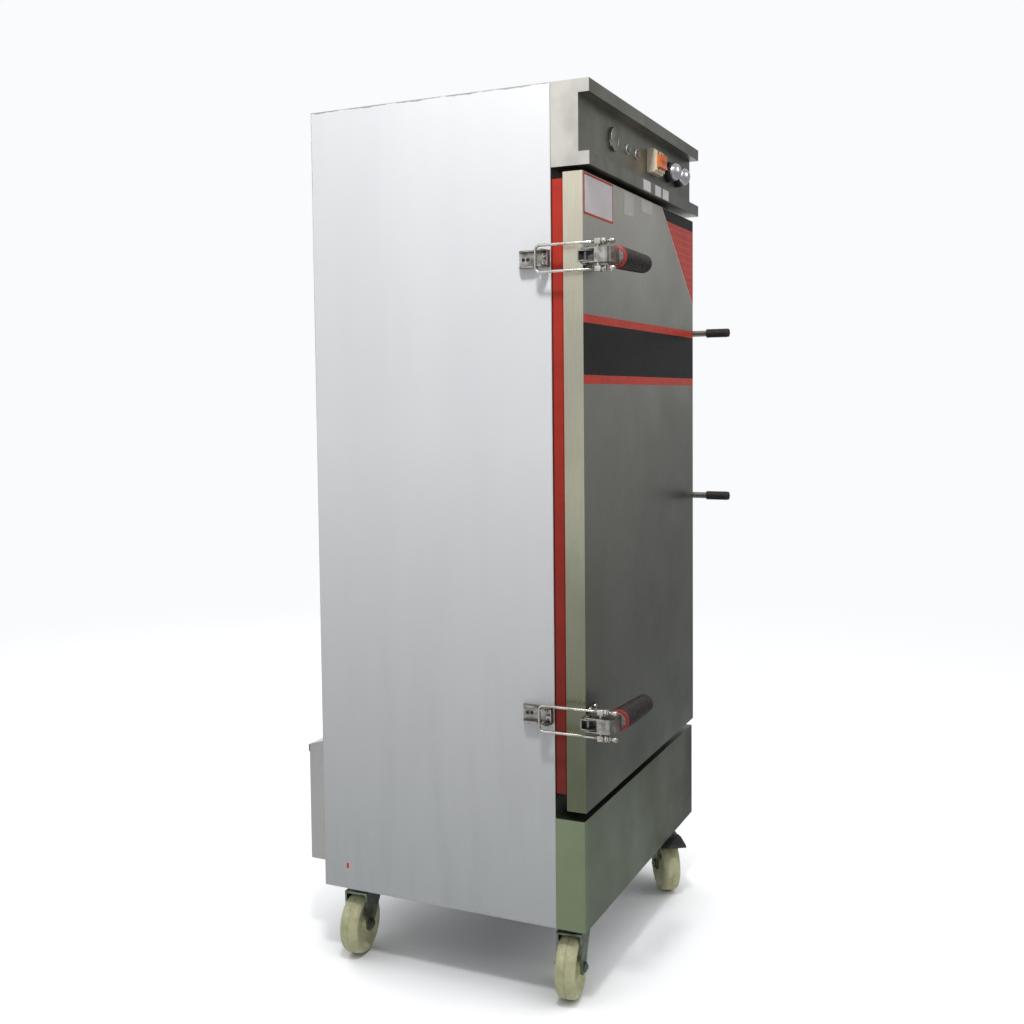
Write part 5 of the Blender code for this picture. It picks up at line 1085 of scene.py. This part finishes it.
def oblong(left, right_side, low, high, corner=0.0015):
    """A rectangle with small round corners."""
    points = []
    for sign_x, sign_z, begin in ((1, 1, 0), (-1, 1, 90), (-1, -1, 180), (1, -1, 270)):
        x = (right_side - corner) if sign_x > 0 else (left + corner)
        z = (high - corner) if sign_z > 0 else (low + corner)
        for step in range(5):
            angle = math.radians(begin + 90 * step / 4)
            points.append((x + corner * math.cos(angle), z + corner * math.sin(angle)))
    return points


def plate(left, right_side, low, high, **corner):
    """The same rectangle, from places in millimetres."""
    return oblong(across(left), across(right_side), above(low), above(high), **corner)


print("door face at y in mm:", round(door_face * 1000, 1))

# %% Stickers
edge = 0.0004
right_edge = door_right - edge
band = ((1002, 1018, red_vinyl), (1018, 1111, black_vinyl), (1111, 1126, red_vinyl))
for number, (low_at, high_at, finish) in enumerate(band, 1):
    low, high = above(low_at), above(high_at)
    outline = [(door_left + edge, low), (right_edge, low), (right_edge, high), (door_left + edge, high)]
    on_door("band_film_%d" % number, outline, finish)

corner_left, corner_low, split = across(462), above(1183), above(1352)
top_line = door_top - 0.0006
lean = (right_edge - corner_left) / (top_line - corner_low)
rim, gap = 0.0045, 0.0001


def slant(height, inset=0.0):
    """The x of the corner's slanted side at a height, moved in by an inset."""
    return corner_left + inset + (top_line - height) * lean


outline = [(corner_left, top_line), (right_edge, corner_low), (right_edge, top_line)]
on_door("corner_film_rim", outline, pale_vinyl)
outline = [
    (slant(top_line, rim), top_line - gap), (slant(split, rim), split),
    (right_edge - gap, split), (right_edge - gap, top_line - gap),
]
on_door("corner_film_black", outline, black_vinyl, 1)
outline = [
    (slant(split, rim), split - gap),
    (right_edge - gap, corner_low + rim / lean), (right_edge - gap, split - gap),
]
on_door("corner_film_red", outline, red_vinyl, 1)
line_tall, line_pitch, line_right = 0.0014, 0.015, door_right - 0.012
for number in range(9):
    line_z = split - 0.0125 - line_pitch * number
    line_foot = line_z - line_tall
    line = [(slant(line_z, rim + 0.006), line_z), (line_right, line_z)]
    line += [(line_right, line_foot), (slant(line_foot, rim + 0.006), line_foot)]
    if line[1][0] - line[0][0] > 0.008:
        on_door("corner_film_line_%d" % number, line, faded_red, 2, 0.00008)

on_door("notice_border", plate(6, 158, 1302, 1375), red_vinyl)
on_door("notice_sheet", plate(10, 154, 1306, 1371), white_label, 1)
on_door("plate_a", plate(223, 278, 1330, 1374), grey_vinyl)
on_door("plate_b", plate(326, 398, 1349, 1375), grey_vinyl)
label_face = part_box("control_fascia")[0].y - under
for number, (begin, end) in enumerate(((302, 348), (378, 418), (429, 470)), 1):
    outline = plate(begin, end, 1388, 1408.5, corner=0.001)
    flat_film("control_label_%d" % number, outline, label_face, film_thick, white_label, "cabinet")

# %% [markdown]
# ## Protective film on the side sheets
#
# New cabinets leave the shop with the maker's milky film still on the side sheets. It is trimmed roughly,
# so its upper and lower edges are ragged and bare steel shows past them. The film is a thin sheet of its
# own: its outline wanders by a few millimetres, and its finish is a pale plastic that is almost matt, over
# faint vertical wrinkles. Its colour carries painted shade, darker towards its foot.

# %% Film sheets
side_film = Finish("protective_film", (0.74, 0.75, 0.76), 0.44, Coat_Weight=0.12, Coat_Roughness=0.35)
waves = side_film.noise(1.0, 3.0, side_film.scaled(5.0, 5.0, 0.8))
bubbles = side_film.noise(150.0, 3.0)
rubs = side_film.noise(1.0, 4.0, side_film.scaled(26.0, 26.0, 3.0))
wavy, rubbed = side_film.spread(waves, 0.35, 0.75), side_film.spread(rubs, 0.45, 0.75)
# Painted shade: the film's colour darkens from its light top to its foot.
film_top = side_film.blended(wavy, (0.83, 0.832, 0.845), (0.775, 0.78, 0.795))
shaded_film_foot = side_film.blended(rubbed, (0.47, 0.488, 0.482), (0.425, 0.442, 0.436))
painted_shade_share = side_film.spread(side_film.axis("Z"), 0.12, 1.05, 1.0, 0.0)
side_film.set(Base_Color=side_film.blended(painted_shade_share, film_top, shaded_film_foot))
side_film.dull(bubbles, 0.38, 0.52, 0.35, 0.7)
side_film.bump(side_film.sum("ADD", waves, side_film.sum("MULTIPLY", bubbles, 0.05)), 0.0012, 0.12)


def wander(place, seed):
    """A small uneven offset from a few sines that never line up."""
    slow, quick = math.sin(place * 61.0 + seed), 0.6 * math.sin(place * 173.0 + seed * 2.1)
    return (slow + quick + 0.4 * math.sin(place * 419.0 + seed * 3.7)) / 2.0


def film_outline(seed):
    """The side sheet's outline, with an uneven top and foot."""
    front_edge, back_edge = panel_low.y + 0.001, panel_high.y - 0.0012
    points, steps = [], 160
    for step in range(steps + 1):
        y = front_edge + (back_edge - front_edge) * step / steps
        points.append((y, panel_high.z - 0.0022 + 0.0018 * wander(y, seed)))
    for step in range(steps + 1):
        y = back_edge + (front_edge - back_edge) * step / steps
        points.append((y, panel_low.z + 0.004 + 0.0034 * wander(y, seed + 5.0)))
    return points


side_gap, side_thick = 0.00003, 0.00014
left_face, right_face = panel_low.x - side_gap, -panel_low.x + side_gap + side_thick
for side, face, seed in (("left", left_face, 1.3), ("right", right_face, 7.7)):
    flat_film("side_film_" + side, film_outline(seed), face, side_thick, side_film, "cabinet", on_side=True)
sticker = oblong(0.22, 0.241, 0.184, 0.201, 0.001)
flat_film("pink_sticker", sticker, panel_low.x - 0.00018, 0.0001, pale_pink, "cabinet", on_side=True)
mark = oblong(0.2285, 0.2335, 0.188, 0.198, 0.0005)
flat_film("pink_sticker_mark", mark, panel_low.x - 0.0003, 0.00006, pink_label, "cabinet", on_side=True)
print("points round a side film:", len(film_outline(1.3)))
